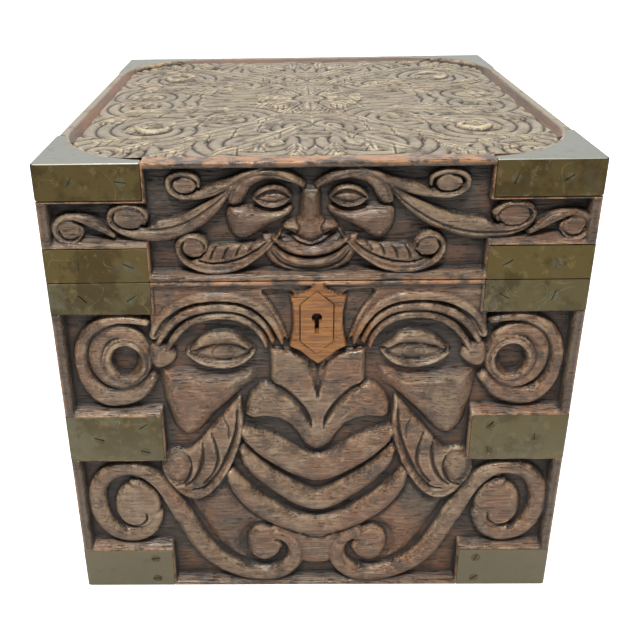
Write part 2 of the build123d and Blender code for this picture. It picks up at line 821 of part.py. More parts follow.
def back_board(bottom, top, outside, taken):
    """Plain back board, its ends rebated for the side boards and its edge bevelled at the seam."""
    with BuildPart() as board:
        add(block(-half_width, half_width, back_inside, half_depth, bottom, top))
        add(outside, mode=Mode.INTERSECT)
        add(corner_laps(bottom, top)[1::2] + [groove] + taken, mode=Mode.SUBTRACT)
    return board


def side_board(side, bottom, top, outside, taken):
    """Plain side board, its ends lapped into the front and the back."""
    with BuildPart() as board:
        add(block(*sorted((side * side_inside, side * half_width)), front_inside - corner_lap,
                  back_inside + corner_lap, bottom, top))
        add(outside, mode=Mode.INTERSECT)
        add(taken, mode=Mode.SUBTRACT)
    return board


body_front = front_board(
    0, body_height, body_outside, body_front_field, large_mask() + [shield()],
    [floor_blank, inlay_blank(), keyhole_prism(-half_depth, case_front), lock_mortise, cap_mortise,
     selvedge_mortise] + lock_screws + brass_and_screws(body_families, front_corners),
)
body_back = back_board(
    0, body_height, body_outside,
    [floor_blank] + [hinge[name] for hinge in hinges.values() for name in ("room", "body_seat")]
    + [piece for hinge in hinges.values() for piece in hinge["body_screws"]]
    + brass_and_screws(body_families, back_corners),
)
lid_front = front_board(
    lid_bottom, total_height, lid_outside, lid_front_field, small_mask(),
    [top_blank, top_waste, link_mortise] + link_screws + brass_and_screws(lid_families, front_corners),
)
lid_back = back_board(
    lid_bottom, total_height, lid_outside,
    [top_blank, top_waste] + [hinge[name] for hinge in hinges.values() for name in ("room", "lid_seat")]
    + [piece for hinge in hinges.values() for piece in hinge["lid_screws"]]
    + brass_and_screws(lid_families, back_corners),
)
body_sides = {
    side: side_board(side, 0, body_height, body_outside,
                     [floor_blank] + brass_and_screws(body_families, side_corners[side]))
    for side in (-1, 1)
}
lid_sides = {
    side: side_board(side, lid_bottom, total_height, lid_outside,
                     [top_blank, top_waste] + brass_and_screws(lid_families, side_corners[side]))
    for side in (-1, 1)
}

with BuildPart() as body_floor:
    add(floor_blank)
    add(brass_and_screws(("body_foot_corner",), corners), mode=Mode.SUBTRACT)

with BuildPart() as keyhole_inlay:
    add(inlay_blank())
    add(keyhole_prism(-half_depth, case_front), mode=Mode.SUBTRACT)

with BuildPart() as lid_top_panel:
    add(top_blank)
    add(top_waste, mode=Mode.SUBTRACT)
    add(brass_and_screws(("lid_top_corner",), corners), mode=Mode.SUBTRACT)


# Every piece under its name

pieces = {
    "body_front": body_front.part,
    "body_back": body_back.part,
    "body_left": body_sides[-1].part,
    "body_right": body_sides[1].part,
    "body_floor": body_floor.part,
    "keyhole_inlay": keyhole_inlay.part,
    "lid_front": lid_front.part,
    "lid_back": lid_back.part,
    "lid_left": lid_sides[-1].part,
    "lid_right": lid_sides[1].part,
    "lid_top_panel": lid_top_panel.part,
    "lock_case": lock_case.part,
    "lock_cap": lock_cap.part,
    "lock_drill_pin": lock_drill_pin.part,
    "lock_bolt": lock_bolt.part,
    "lock_spring": lock_spring.part,
    "link_plate": link_plate.part,
    "lock_screws": Compound(children=lock_screws),
    "link_plate_screws": Compound(children=link_screws),
    "hinge_body_screws": Compound(children=[p for hinge in hinges.values() for p in hinge["body_screws"]]),
    "hinge_lid_screws": Compound(children=[p for hinge in hinges.values() for p in hinge["lid_screws"]]),
}
for side, hinge in hinges.items():
    for name in ("body_leaf", "lid_leaf", "pin"):
        pieces[f"hinge_{name}_{side}"] = hinge[name]

for name, piece in pieces.items():
    piece.label = name
    export_step(piece, f"parts/{name}.step")
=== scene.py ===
import json
import math

import bmesh
import bpy
import numpy as np
from bpy.props import FloatProperty, FloatVectorProperty, PointerProperty
from mathutils import Matrix, Vector

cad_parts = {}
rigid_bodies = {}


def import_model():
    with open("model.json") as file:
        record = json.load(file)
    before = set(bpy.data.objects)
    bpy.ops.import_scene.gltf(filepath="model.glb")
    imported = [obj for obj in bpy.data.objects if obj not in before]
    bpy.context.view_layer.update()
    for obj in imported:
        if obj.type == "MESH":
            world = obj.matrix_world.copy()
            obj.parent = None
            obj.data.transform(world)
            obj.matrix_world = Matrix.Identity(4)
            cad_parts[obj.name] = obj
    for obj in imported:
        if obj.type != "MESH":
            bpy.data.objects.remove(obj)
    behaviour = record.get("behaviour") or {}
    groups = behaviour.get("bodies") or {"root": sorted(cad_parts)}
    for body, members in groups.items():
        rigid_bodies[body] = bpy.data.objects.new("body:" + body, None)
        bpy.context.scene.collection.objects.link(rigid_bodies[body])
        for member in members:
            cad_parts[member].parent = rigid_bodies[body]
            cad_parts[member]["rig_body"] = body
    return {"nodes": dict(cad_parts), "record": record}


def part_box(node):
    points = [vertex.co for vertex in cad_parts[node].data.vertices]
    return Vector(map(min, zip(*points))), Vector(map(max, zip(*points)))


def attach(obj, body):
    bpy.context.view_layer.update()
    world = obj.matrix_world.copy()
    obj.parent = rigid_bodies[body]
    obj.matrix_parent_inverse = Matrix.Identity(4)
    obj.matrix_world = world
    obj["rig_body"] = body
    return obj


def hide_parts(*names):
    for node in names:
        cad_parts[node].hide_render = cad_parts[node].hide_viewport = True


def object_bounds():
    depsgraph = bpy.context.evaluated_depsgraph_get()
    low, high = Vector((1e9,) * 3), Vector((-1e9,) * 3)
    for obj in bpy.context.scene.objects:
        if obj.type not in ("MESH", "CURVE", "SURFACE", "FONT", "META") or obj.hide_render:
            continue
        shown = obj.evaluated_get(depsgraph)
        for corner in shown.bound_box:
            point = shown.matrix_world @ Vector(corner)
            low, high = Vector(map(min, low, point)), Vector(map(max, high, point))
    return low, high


bl_info = {
    "name": "Carved Wooden Box",
    "version": (1, 0, 0),
    "blender": (4, 5, 0),
    "location": "View3D > Sidebar > Carved Box",
    "description": "A brass-bound oak box with a carved front and a carved lid",
    "category": "Add Mesh",
}

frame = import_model()
cad_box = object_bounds()

# Fixed sizes in millimetres. A sheet's columns count from the left and its rows from the top of the box.

MM = 0.001
BOX_LOW, BOX_HIGH = cad_box
FRONT = BOX_LOW[1] / MM
TOP = BOX_HIGH[2] / MM
HALF_WIDTH = BOX_HIGH[0] / MM
SHEET_SCALE = 1.0125
SHEET_WIDTH = 260
AXIS = 130.7
LID_AXIS = 126.8
CARVING_DEPTH = 6.0
SLAB = 2.5
TOP_DEPTH = 4.0
CORNER_ROUND = 2.0
LET_IN = 1.5
LEG = 50.0
FRAME = 4.6
INLAY_LOW, INLAY_HIGH = [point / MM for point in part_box("keyhole_inlay")]
PIN_LOW, PIN_HIGH = [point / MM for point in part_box("hinge_pin_left")]
HINGE_Y = (PIN_LOW.y + PIN_HIGH.y) / 2
SEAM = (PIN_LOW.z + PIN_HIGH.z) / 2
KEYHOLE_HEIGHT = TOP - 78.9
BODY_STRAPS = ((58, 74.9), (134.3, 161.0), (222.2, 248))
LID_STRAPS = ((-1, 18.2), (40.9, 58.4))
BODY_FIELD = (60.6, 246.2)
LID_FIELD = (2.4, 56.4)

# Names of the frame's slots and nodes, and of the layers that a carving hands to its finish

SLOTS = {row["node"]: row["material_slot"] for row in frame["record"]["subparts"]}
LID_FAMILIES = ("lid_top_corner", "lid_rim_strap")
BODY_FAMILIES = ("body_rim_strap", "body_mid_strap", "body_foot_corner")
CORNERS = ("front_left", "front_right", "back_left", "back_right")
LAYERS = ("wear", "cavity", "socket", "crease", "height", "bare", "edge", "rim")

# Camera fitted to the corners of the box in the photograph

CAMERA_LENS = 45.79
CAMERA_SHIFT = (0.0715, -0.0874)
CAMERA_PLACE = (-0.014119, -0.485856, 0.355662)
CAMERA_ACROSS = (0.99982652, 0.01085963, -0.01513293)
CAMERA_UPWARD = (0.00944513, 0.40465357, 0.91442128)
CAMERA_BEHIND = (0.01605387, -0.91440557, 0.4044808)


# Sizes and colours a user would change

def millimetres(name, description, default):
    return FloatProperty(name=name, description=description, default=default * MM, unit="LENGTH", precision=5)


def colour(name, description, default):
    return FloatVectorProperty(name=name, description=description, default=default, subtype="COLOR", size=3,
                               min=0.0, max=1.0)


class WoodSettings(bpy.types.PropertyGroup):
    cell: millimetres("Carving Cell", "Spacing of the points that the carving is worked on", 0.74)
    lid_cell: millimetres("Lid Carving Cell", "Spacing of the points of the small mask", 0.55)
    top_cell: millimetres("Top Carving Cell", "Spacing of the points of the carved top", 0.85)
    # Dark Oak and Brown Oak are mixed by height in the carving, which paints shade low down and in the
    # hollows.
    dark: colour("Dark Oak", "Stained oak in the shade of the carving", (0.040, 0.026, 0.018))
    mid: colour("Brown Oak", "Stained oak on the raised forms", (0.185, 0.112, 0.064))
    # Worn Oak is also laid over the raised forms as painted sheen.
    pale: colour("Worn Oak", "Oak rubbed pale on the high spots", (0.370, 0.260, 0.165))
    orange: colour("Bare Edge", "Oak where the stain is worn off at an edge", (0.430, 0.200, 0.080))
    red: colour("Red Brown Oak", "Stained oak where the brown shows through", (0.160, 0.064, 0.026))
    dust: colour("Dust", "Grey dust and dry wax on the flat parts", (0.210, 0.178, 0.128))
    # Dry Ridge is partly a painted highlight on the ridges of the top.
    dry: colour("Dry Ridge", "Ridges of the top, bleached and dry", (0.500, 0.420, 0.270))
    # Dirt is also laid into the hollows, creases and sockets of the carving as painted shade.
    dirt: colour("Dirt", "Old dirt in the creases and the pores", (0.011, 0.008, 0.006))
    inlay: colour("Keyhole Oak", "Oiled oak of the shield and the inlay", (0.300, 0.125, 0.026))
    inlay_dark: colour("Dark Keyhole Oak", "Dark grain of the shield and the inlay", (0.165, 0.060, 0.014))
    inlay_brown: colour("Brown Keyhole Oak", "Cloudy stain on the inlay", (0.22, 0.11, 0.05))
    inlay_pore: colour("Keyhole Pores", "Pores of the inlay", (0.05, 0.025, 0.012))
    floor_dark: colour("Dark Floor Oak", "Shade of the board inside the box", (0.10, 0.062, 0.036))
    floor_mid: colour("Floor Oak", "Board inside the box", (0.20, 0.13, 0.075))
    floor_pale: colour("Pale Floor Oak", "Fibres of the board inside the box", (0.30, 0.20, 0.12))


class BrassSettings(bpy.types.PropertyGroup):
    edge: millimetres("Edge Round", "Rounding along the edges of the brass", 0.22)
    tone: colour("Aged Brass", "Brass under its brown patina", (0.120, 0.092, 0.036))
    grey: colour("Grey Brass", "Brass where the patina has gone grey green", (0.130, 0.122, 0.080))
    bright: colour("Rubbed Brass", "Brass rubbed bright in the fine scratches", (0.340, 0.310, 0.220))
    lid: colour("Lid Brass", "Second tone of the lid's straps", (0.115, 0.085, 0.032))
    plate: colour("Plate Brass", "Second tone of the lid's corner plates", (0.105, 0.075, 0.030))
    # Plate Tops paints the reflection of the bright sky onto the upper faces of the plates.
    top: colour("Plate Tops", "Grey bloom on the upper faces of the plates", (0.27, 0.275, 0.245))
    low: colour("Low Brass", "Dull brass near the foot of the box", (0.170, 0.150, 0.104))
    patina: colour("Patina", "Dark brown patina in patches", (0.055, 0.038, 0.016))
    mottle: colour("Mottle", "Pale mottling over the patina", (0.210, 0.165, 0.075))
    spot: colour("Spots", "Dark spots", (0.050, 0.040, 0.024))
    hinge: colour("Hinge Brass", "Cleaner brass of the hinges", (0.30, 0.25, 0.13))
    lock: colour("Lock Brass", "Clean brass of the lock", (0.36, 0.30, 0.15))
    lock_dark: colour("Dark Lock Brass", "Shade on the brass of the lock", (0.26, 0.21, 0.10))
    head: millimetres("Binding Screw", "Radius of the binding screws' heads", 2.68)
    small_head: millimetres("Small Screw", "Radius of the screw heads of the hinges and the lock", 1.85)


class SteelSettings(bpy.types.PropertyGroup):
    pale: colour("Steel", "Dull steel", (0.38, 0.37, 0.35))
    dark: colour("Dark Steel", "Steel in the shade of its clouds", (0.22, 0.21, 0.20))
    pits: colour("Pits", "Rust in the pits", (0.10, 0.07, 0.05))


class StageSettings(bpy.types.PropertyGroup):
    floor: colour("Floor", "Pale floor under the box", (0.90, 0.90, 0.90))
    floor_pale: colour("Pale Floor", "Palest clouds of the floor", (0.94, 0.94, 0.94))
    world: colour("Daylight", "Light from all round", (1.0, 0.99, 0.97))


# Shader maths

class Value:
    """A socket that takes part in Python expressions and adds its Math nodes."""

    def __init__(self, finish, socket):
        self.finish = finish
        self.socket = socket

    def math(self, operation, *others):
        return self.finish.node("ShaderNodeMath", {"operation": operation}, self, *others)

    def __add__(self, other):
        return self.math("ADD", other)

    def __radd__(self, other):
        return self.math("ADD", other)

    def __sub__(self, other):
        return self.math("SUBTRACT", other)

    def __rsub__(self, other):
        return self.finish.node("ShaderNodeMath", {"operation": "SUBTRACT"}, other, self)

    def __mul__(self, other):
        return self.math("MULTIPLY", other)

    def __rmul__(self, other):
        return self.math("MULTIPLY", other)

    def at_least(self, other):
        return self.math("MAXIMUM", other)

    def at_most(self, other):
        return self.math("MINIMUM", other)

    def between(self, low, high, out_low=0.0, out_high=1.0):
        """Smooth step of this value from one level to another."""
        return self.finish.node("ShaderNodeMapRange", {"interpolation_type": "SMOOTHSTEP"}, self, low, high,
                                out_low, out_high)


class Finish:
    """A material under construction, named for the finish it gives."""

    def __init__(self, name):
        self.material = bpy.data.materials.new(name)
        self.material.use_nodes = True
        self.tree = self.material.node_tree
        self.shader = self.tree.nodes["Principled BSDF"]
        self.place = self.node("ShaderNodeTexCoord", {}, output="Object")

    def node(self, kind, settings, *inputs, output=0, **named):
        node = self.tree.nodes.new(kind)
        for key, setting in settings.items():
            setattr(node, key, setting)
        for key, given in list(enumerate(inputs)) + [(k.replace("_", " "), v) for k, v in named.items()]:
            self.plug(node.inputs[key], given)
        return Value(self, node.outputs[output])

    def plug(self, socket, given):
        if isinstance(given, Value):
            self.tree.links.new(given.socket, socket)
        elif socket.type == "RGBA" and len(given) == 3:
            socket.default_value = (*given, 1.0)
        else:
            socket.default_value = given

    def attribute(self, name):
        return self.node("ShaderNodeAttribute", {"attribute_name": name}, output="Fac")

    def stretched(self, scale, turn=(0.0, 0.0, 0.0), shift=(0.0, 0.0, 0.0)):
        return self.node("ShaderNodeMapping", {}, self.place, shift, turn, scale)

    def noise(self, scale, detail=3.0, rough=0.55, vector=None, distortion=0.0):
        return self.node("ShaderNodeTexNoise", {}, Vector=vector or self.place, Scale=scale, Detail=detail,
                         Roughness=rough, Distortion=distortion)

    def mix(self, amount, first, second):
        node = self.tree.nodes.new("ShaderNodeMix")
        node.data_type = "RGBA"
        self.plug(node.inputs[0], amount)
        self.plug(node.inputs[6], first)
        self.plug(node.inputs[7], second)
        return Value(self, node.outputs[2])

    def coordinates(self):
        """The three coordinates of the place, each a value."""
        split = self.node("ShaderNodeSeparateXYZ", {}, self.place).socket.node
        return [Value(self, socket) for socket in split.outputs]

    def bump(self, height, distance, strength=1.0):
        return self.node("ShaderNodeBump", {}, Strength=strength, Distance=distance, Height=height)

    def finished(self, **sockets):
        for key, given in sockets.items():
            self.plug(self.shader.inputs[key.replace("_", " ")], given)
        return self.material


# Carving, worked as heights over a sheet in millimetres

def flowing(points, closed=False, steps=7):
    """Smooth line through points, each span of it curved to meet the next."""
    given = np.array(points, float)
    if closed:
        run = np.vstack([given[-1], given, given[0], given[1]])
    else:
        run = np.vstack([2 * given[0] - given[1], given, 2 * given[-1] - given[-2]])
    t = np.linspace(0, 1, steps, endpoint=False)[:, None]
    spans = [
        0.5 * (2 * b + (c - a) * t + (2 * a - 5 * b + 4 * c - d) * t ** 2 + (3 * b - a - 3 * c + d) * t ** 3)
        for a, b, c, d in zip(run, run[1:], run[2:], run[3:])
    ]
    last = given[:1] if closed else given[-1:]
    return np.vstack(spans + [last])


def oval(centre, rx, ry, count):
    """Points round an oval, the last of them on the first."""
    angles = np.radians(np.linspace(0, 360, count))
    return [(centre[0] + rx * math.cos(a), centre[1] + ry * math.sin(a)) for a in angles]


def flipped(points, axis):
    """The same points on the other side of an upright line."""
    return [(2 * axis - p[0], *p[1:]) for p in points]


def whole(points, axis=AXIS):
    """Points of a left half, the last of them on the axis, carried on over the right half."""
    return points + flipped(points[:-1][::-1], axis)


def blurred(field, reach):
    """The field smoothed over a few cells."""
    span = int(3 * reach) + 1
    kernel = np.exp(-0.5 * (np.arange(-span, span + 1) / reach) ** 2)
    kernel /= kernel.sum()
    out = field
    for axis in (0, 1):
        padded = np.pad(out, [(span, span) if a == axis else (0, 0) for a in (0, 1)], mode="edge")
        places = np.arange(field.shape[axis])
        out = sum(share * np.take(padded, places + n, axis) for n, share in enumerate(kernel))
    return out


class Carving:
    """Heights above the carved ground, over columns counted from the left and rows counted down."""

    def __init__(self, across, down):
        self.across = across
        self.down = down
        self.x, self.y = np.meshgrid(across, down)
        self.level = np.zeros_like(self.x)
        self.bare = np.zeros_like(self.x)
        self.edge = np.zeros_like(self.x)
        self.rim = np.zeros_like(self.x)

    def window(self, line, reach):
        low = line[:, :2].min(0) - reach
        high = line[:, :2].max(0) + reach
        columns = np.searchsorted(self.across, (low[0], high[0]))
        rows = np.searchsorted(self.down, (low[1], high[1]))
        return slice(*rows), slice(*columns)

    def nearest(self, part, line):
        """Signed distance to a line of points with a width, and the width at the nearest point."""
        x = self.x[part]
        y = self.y[part]
        best = np.full(x.shape, 1e9)
        side = np.ones(x.shape)
        width = np.ones(x.shape)
        for a, b in zip(line, line[1:]):
            run = b - a
            length = run[0] ** 2 + run[1] ** 2
            if length < 1e-12:
                continue
            t = np.clip(((x - a[0]) * run[0] + (y - a[1]) * run[1]) / length, 0, 1)
            dx = x - a[0] - t * run[0]
            dy = y - a[1] - t * run[1]
            distance = np.hypot(dx, dy)
            closer = distance < best
            best = np.where(closer, distance, best)
            side = np.where(closer, np.where(run[0] * dy - run[1] * dx < 0, -1.0, 1.0), side)
            width = np.where(closer, a[2] + t * (b[2] - a[2]), width)
        return best, side, width

    def inside(self, part, line):
        x = self.x[part]
        y = self.y[part]
        odd = np.zeros(x.shape, bool)
        for a, b in zip(line, line[1:]):
            if a[1] == b[1]:
                continue
            crosses = (y < a[1]) != (y < b[1])
            odd ^= crosses & (x < a[0] + (y - a[1]) * (b[0] - a[0]) / (b[1] - a[1]))
        return odd

    def stroked(self, points, width):
        """Part of the sheet round a line, with the share of the way out, the side and the width there."""
        line = flowing([p if len(p) == 3 else (*p, width) for p in points])
        part = self.window(line, line[:, 2].max() / 2 + 1)
        distance, side, wide = self.nearest(part, line)
        return part, np.clip(distance / (np.maximum(wide, 0.2) / 2), 0, 1), side, wide

    def outlined(self, points, sharp):
        """Closed line through points, the part of the sheet round it, and what lies inside."""
        given = [(*p, 1.0) for p in points]
        line = np.array(given + given[:1], float) if sharp else flowing(given, closed=True)
        part = self.window(line, 1)
        return line, part, self.inside(part, line)

    def band(self, points, height, width=None, shoulder=2.4, grooves=(), fade=0.1):
        """Raised band along a line of (x, y, width) or (x, y), lower where it is narrower than fade."""
        part, t, side, wide = self.stroked(points, width)
        raised = height * np.sqrt(1 - t ** shoulder) * np.clip(wide / fade, 0.2, 1)
        for at, spread, depth in grooves:
            raised = raised - depth * np.exp(-(((side * t) - at) / spread) ** 2)
        here = self.level[part]
        self.level[part] = np.where(t < 1, np.maximum(here, raised), here)

    def form(self, points, height, edge=3.0, crown=0.0, sharp=False, over=False, soft=None):
        """Raised form with a crowned middle. Its edge is round, or soft where soft(y) is 1."""
        line, part, odd = self.outlined(points, sharp)
        distance = self.nearest(part, line)[0]
        share = soft(self.y[part]) if soft else 0.0
        q = np.clip(distance / (edge * (1 + share)), 0, 1)
        shape = (1 - share) * np.sqrt(1 - (1 - q) ** 2) + share * q * q * (3 - 2 * q)
        middle = distance[odd].max() if odd.any() else 1.0
        raised = (height - crown) * shape + crown * np.sin(np.clip(distance / middle, 0, 1) * math.pi / 2)
        here = self.level[part]
        laid = shape * raised + (1 - shape) * here if over else np.maximum(here, raised)
        self.level[part] = np.where(odd, laid, here)

    def laid_bare(self, points, amount, sharp=False):
        """Oak without its stain inside an outline."""
        _, part, odd = self.outlined(points, sharp)
        self.bare[part] = np.where(odd, amount, self.bare[part])

    def cut(self, points, depth, width=None, shoulder=1.6, floor=-1.2):
        """Cut along a line of (x, y, width) or of (x, y) with one width."""
        part, t, _, _ = self.stroked(points, width)
        here = self.level[part]
        lowered = np.maximum(here - depth * (1 - t ** shoulder), np.minimum(here, floor))
        self.level[part] = np.where(t < 1, lowered, here)

    def disc(self, centre, rx, ry, height, edge=3.0, crown=0.5):
        """Raised oval boss."""
        self.form(oval(centre, rx, ry, 13)[:-1], height, edge, crown)

    def hollow(self, centre, rx, ry, depth):
        """Dished hollow, deepest in its middle."""
        r = np.hypot((self.x - centre[0]) / rx, (self.y - centre[1]) / ry)
        self.level -= np.where(r < 1, depth * (1 - r ** 2.5), 0)

    def tooled(self, cell, depth=0.14, seed=3):
        """Slight unevenness left by the gouge."""
        chance = np.random.default_rng(seed).normal(size=self.level.shape)
        fine = blurred(chance, 1.6 / cell)
        broad = blurred(chance, 5.0 / cell)
        marks = fine / np.abs(fine).max() + 0.6 * broad / np.abs(broad).max()
        self.level = np.clip(self.level + depth * marks, np.minimum(self.level, 0), CARVING_DEPTH)

    def ledge(self, x0, x1, y0, y1, left=2.0, right=2.0, above=4.5, below=2.0, height=CARVING_DEPTH):
        """Wood left at full height, with sloping walls of their own width on each side."""
        dx = np.maximum(np.maximum((x0 - self.x) / left, (self.x - x1) / right), 0)
        dy = np.maximum(np.maximum((y0 - self.y) / above, (self.y - y1) / below), 0)
        away = np.clip(np.hypot(dx, dy), 0, 1)
        self.level = np.maximum(self.level, height * (1 - away ** 1.3))


class Half:
    """Hands its lines to a carving, as they are drawn or turned over to the other half."""

    def __init__(self, carving, turn):
        self.carving = carving
        self.turn = turn

    def band(self, points, *sizes, **named):
        self.carving.band(self.turn(points), *sizes, **named)

    def form(self, points, *sizes, **named):
        self.carving.form(self.turn(points), *sizes, **named)

    def cut(self, points, *sizes, **named):
        self.carving.cut(self.turn(points), *sizes, **named)

    def laid_bare(self, points, amount):
        self.carving.laid_bare(self.turn(points), amount)

    def disc(self, centre, *sizes):
        self.carving.disc(self.turn([centre])[0], *sizes)

    def hollow(self, centre, *sizes):
        self.carving.hollow(self.turn([centre])[0], *sizes)


def halves(carving, axis):
    """The half as drawn, and the half turned over the axis."""
    return Half(carving, lambda points: points), Half(carving, lambda points: flipped(points, axis))


def ledges_round_brass(carving, rows, field, gap=0.4, outside=999):
    """The frame at the field's edges and the pad under each brass leg."""
    first, last = field
    carving.ledge(-outside, FRAME, -outside, outside, right=1.4)
    carving.ledge(SHEET_WIDTH - FRAME, outside, -outside, outside, left=1.4)
    carving.ledge(-outside, outside, -outside, first, below=2.2)
    carving.ledge(-outside, outside, last, outside, above=3.0)
    for top, bottom in rows:
        carving.ledge(-outside, LEG + gap, top - gap, bottom + gap, right=0.9)
        carving.ledge(SHEET_WIDTH - LEG - gap, outside, top - gap, bottom + gap, left=0.9)


def recess_for_brass(carving, rows):
    """Seats let into the wood for the brass legs."""
    for top, bottom in rows:
        off_centre = np.abs(carving.x - SHEET_WIDTH / 2)
        seat = (carving.y > top) & (carving.y < bottom) & (off_centre > SHEET_WIDTH / 2 - LEG)
        carving.level = np.where(seat, CARVING_DEPTH - LET_IN, carving.level)


def ear(half):
    """Coiled ear of the large mask."""
    half.band([(46, 81, 4), (38, 79.5, 5), (28, 80, 6), (18, 86, 6.5), (12.5, 95, 7), (11.7, 106, 7.5),
        (15, 117, 9), (22, 123.5, 10.5), (31, 124, 10.5), (40, 120.5, 9), (47, 113, 6)], 5.5,
        shoulder=2.0, grooves=((0.0, 0.25, 0.5),))
    half.band(oval((31.5, 101), 12.2, 14.6, 21), 4.3, 8.5, 3.0, ((-0.55, 0.2, 0.5),))
    half.band(oval((34.5, 102.5), 9.2, 10.4, 21), 5.6, 4.0, 3.0)
    half.band(oval((34.8, 102.3), 11.6, 12.6, 21), 4.9, 1.6, 3.0)
    half.hollow((35.6, 102.3), 7.8, 8.8, 3.2)


def brow(half):
    """Triple ridge over an eye of the large mask."""
    half.form([(48, 59.5), (131, 59.5), (131, 66), (118.4, 67), (118.2, 78), (116, 92), (110.5, 87),
        (105, 77), (96, 70.5), (84, 68), (70, 69), (60, 73.6), (53, 80), (48, 86)], 3.9, 1.2, 0.3,
        sharp=True)
    half.band([(49.5, 88, 5), (52.5, 81, 6.4), (58, 74.5, 6.8), (66, 69.6, 6.6), (76, 67.4, 6.6),
        (88, 67.6, 6.6), (97, 70, 6.4), (103.5, 74.5, 6), (108, 80.5, 5), (111.5, 87.5, 4), (113, 92.5, 2)],
        5.8, shoulder=2.6)
    half.band([(51.5, 92, 3.5), (56.5, 84, 5.4), (64, 77.6, 5.8), (73, 74.2, 5.6), (83, 73.2, 5.6),
        (93, 74.6, 5.4), (100.5, 79, 5), (105.5, 85, 4), (108.2, 91.5, 3)], 4.9, shoulder=2.2)
    half.band([(56, 95.5, 3), (60.5, 88.5, 4), (67, 82.3, 4.6), (75, 79, 4.6), (84, 78, 4.6),
        (92, 79.6, 4.6), (98.5, 83.6, 4.4), (103, 89.5, 3.6), (105, 95, 2)], 4.5, shoulder=2.0)
    half.cut([(50.5, 87.5), (55, 80), (62.5, 74.2), (71, 71.2), (82, 70.3), (92, 71.2), (99.5, 75),
        (105.5, 81.5), (109, 89)], 2.2, 1.7)
    half.form([(49, 92), (54, 93.5), (59, 97), (59.5, 101.5), (56, 105.3), (50, 107.5), (46.5, 104),
        (46, 97)], 5.2, 4, 0.8)


def eye(half):
    """Sunk eye with two lids."""
    half.form([(65, 97.5), (70, 92), (76, 88), (84, 86.3), (91, 88), (97, 93), (99.5, 97), (96, 102),
        (91, 105.6), (84, 107.2), (77, 106), (70, 102.6)], 3.6, 4.5, 0.6)
    half.band([(68, 96.5, 2.5), (73, 92.5, 5), (79, 90.2, 6.2), (85, 89.8, 6.2), (91, 91.4, 5),
        (96.5, 95.5, 2.5)], 4.9, shoulder=2.2)
    half.form([(69.5, 98), (75, 95.4), (84, 94.3), (92, 95.4), (97, 97.6), (92, 101.4), (84, 103),
        (75, 101.6)], 3.3, 3.0, 0.9, over=True)
    half.cut([(66.5, 97.2), (73, 95.6), (80, 93.9), (88, 93.9), (94, 95.6), (98.5, 97)], 2.2, 1.5)
    half.band([(65.5, 98.4, 1.6), (70, 102.2, 3), (76, 104.8, 3.6), (84, 105.8, 3.8), (91, 104.3, 3.4),
        (96, 100.8, 2.8), (99, 97.6, 1.4)], 4.6, shoulder=2.0)
    half.cut([(69, 99.2), (75, 101.8), (84, 103), (92, 101.4), (97, 98.6)], 0.9, 1.0)
    half.cut(oval((83.4, 98.6), 5.4, 4.2, 13), 0.5, 1.3)
    half.cut([(66, 101), (71, 105.8), (78, 108.8), (85, 109.8), (92, 108), (98, 103.6)], 1.4, 1.8)


def cheek(half):
    """Full cheek under an eye."""
    half.form([(50.5, 108.6), (57, 106.6), (66, 107.4), (75, 109), (85, 109), (93, 107), (98.5, 106.4),
        (101, 110.5), (98.5, 116), (92, 120.5), (84.5, 128), (78, 134.5), (73, 140.5), (68, 145.5),
        (62.5, 147.3), (57, 142.5), (54, 133), (51.8, 122)], 6.0, 5.0, 3.6,
        soft=lambda y: np.clip((121 - y) / 9, 0, 1))


def nose(carving):
    """Nose of the large mask, its wings and its creases."""
    outline = whole([(106.2, 95.6), (106.4, 105), (106.4, 115), (101, 116.8), (96, 122), (93.2, 129),
        (92.8, 135.6), (97, 138.2), (104, 137.4), (110.5, 138.6), (116, 142), (119.8, 147.4),
        (123, 152.4), (127, 155.2), (AXIS, 156.2)])
    top = [(148, 97), (140, 97.5), (136, 100), (AXIS, 104.6), (125.5, 100), (121, 97.5), (114, 95.8)]
    carving.form(outline + top, 4.9, 3.6, 1.2, sharp=True, over=True)
    carving.form([(AXIS, 157), (123.5, 153), (120.6, 146), (122, 139), (126.4, 134.6), (AXIS, 133),
        (135, 134.6), (139.4, 139), (140.8, 146), (138, 153)], 6.0, 7.5, 1.4)
    for half in halves(carving, AXIS):
        half.form([(107, 117.4), (101.4, 117.6), (96.4, 122), (93.4, 129), (93, 135.4), (97, 138),
            (104, 137.2), (110.5, 138.4), (116, 141.6), (120, 146.4), (123.4, 141), (122, 133),
            (117.6, 126), (112.6, 120.4)], 6.0, 5.0, 4.6)
        half.cut([(105.5, 115.8, 2), (112, 119, 4.4), (118, 124.4, 5), (123, 131, 4.6), (126.2, 137, 3.4),
            (127.5, 141.5, 1)], 2.9, shoulder=1.3)
        half.cut([(106.5, 96.6, 1.4), (113, 96.8, 2.2), (120, 99, 2.4), (125.6, 104, 2.6), (128.4, 108, 2)],
            1.1)
        half.cut([(126.5, 103.5, 2), (127.5, 109, 3.2), (129, 115, 2.4), (130.4, 124, 1)], 1.3)
    carving.cut([(AXIS, 103, 7), (AXIS, 109, 5.5), (AXIS, 116, 3.6), (AXIS, 124, 1)], 2.6, shoulder=1.2)


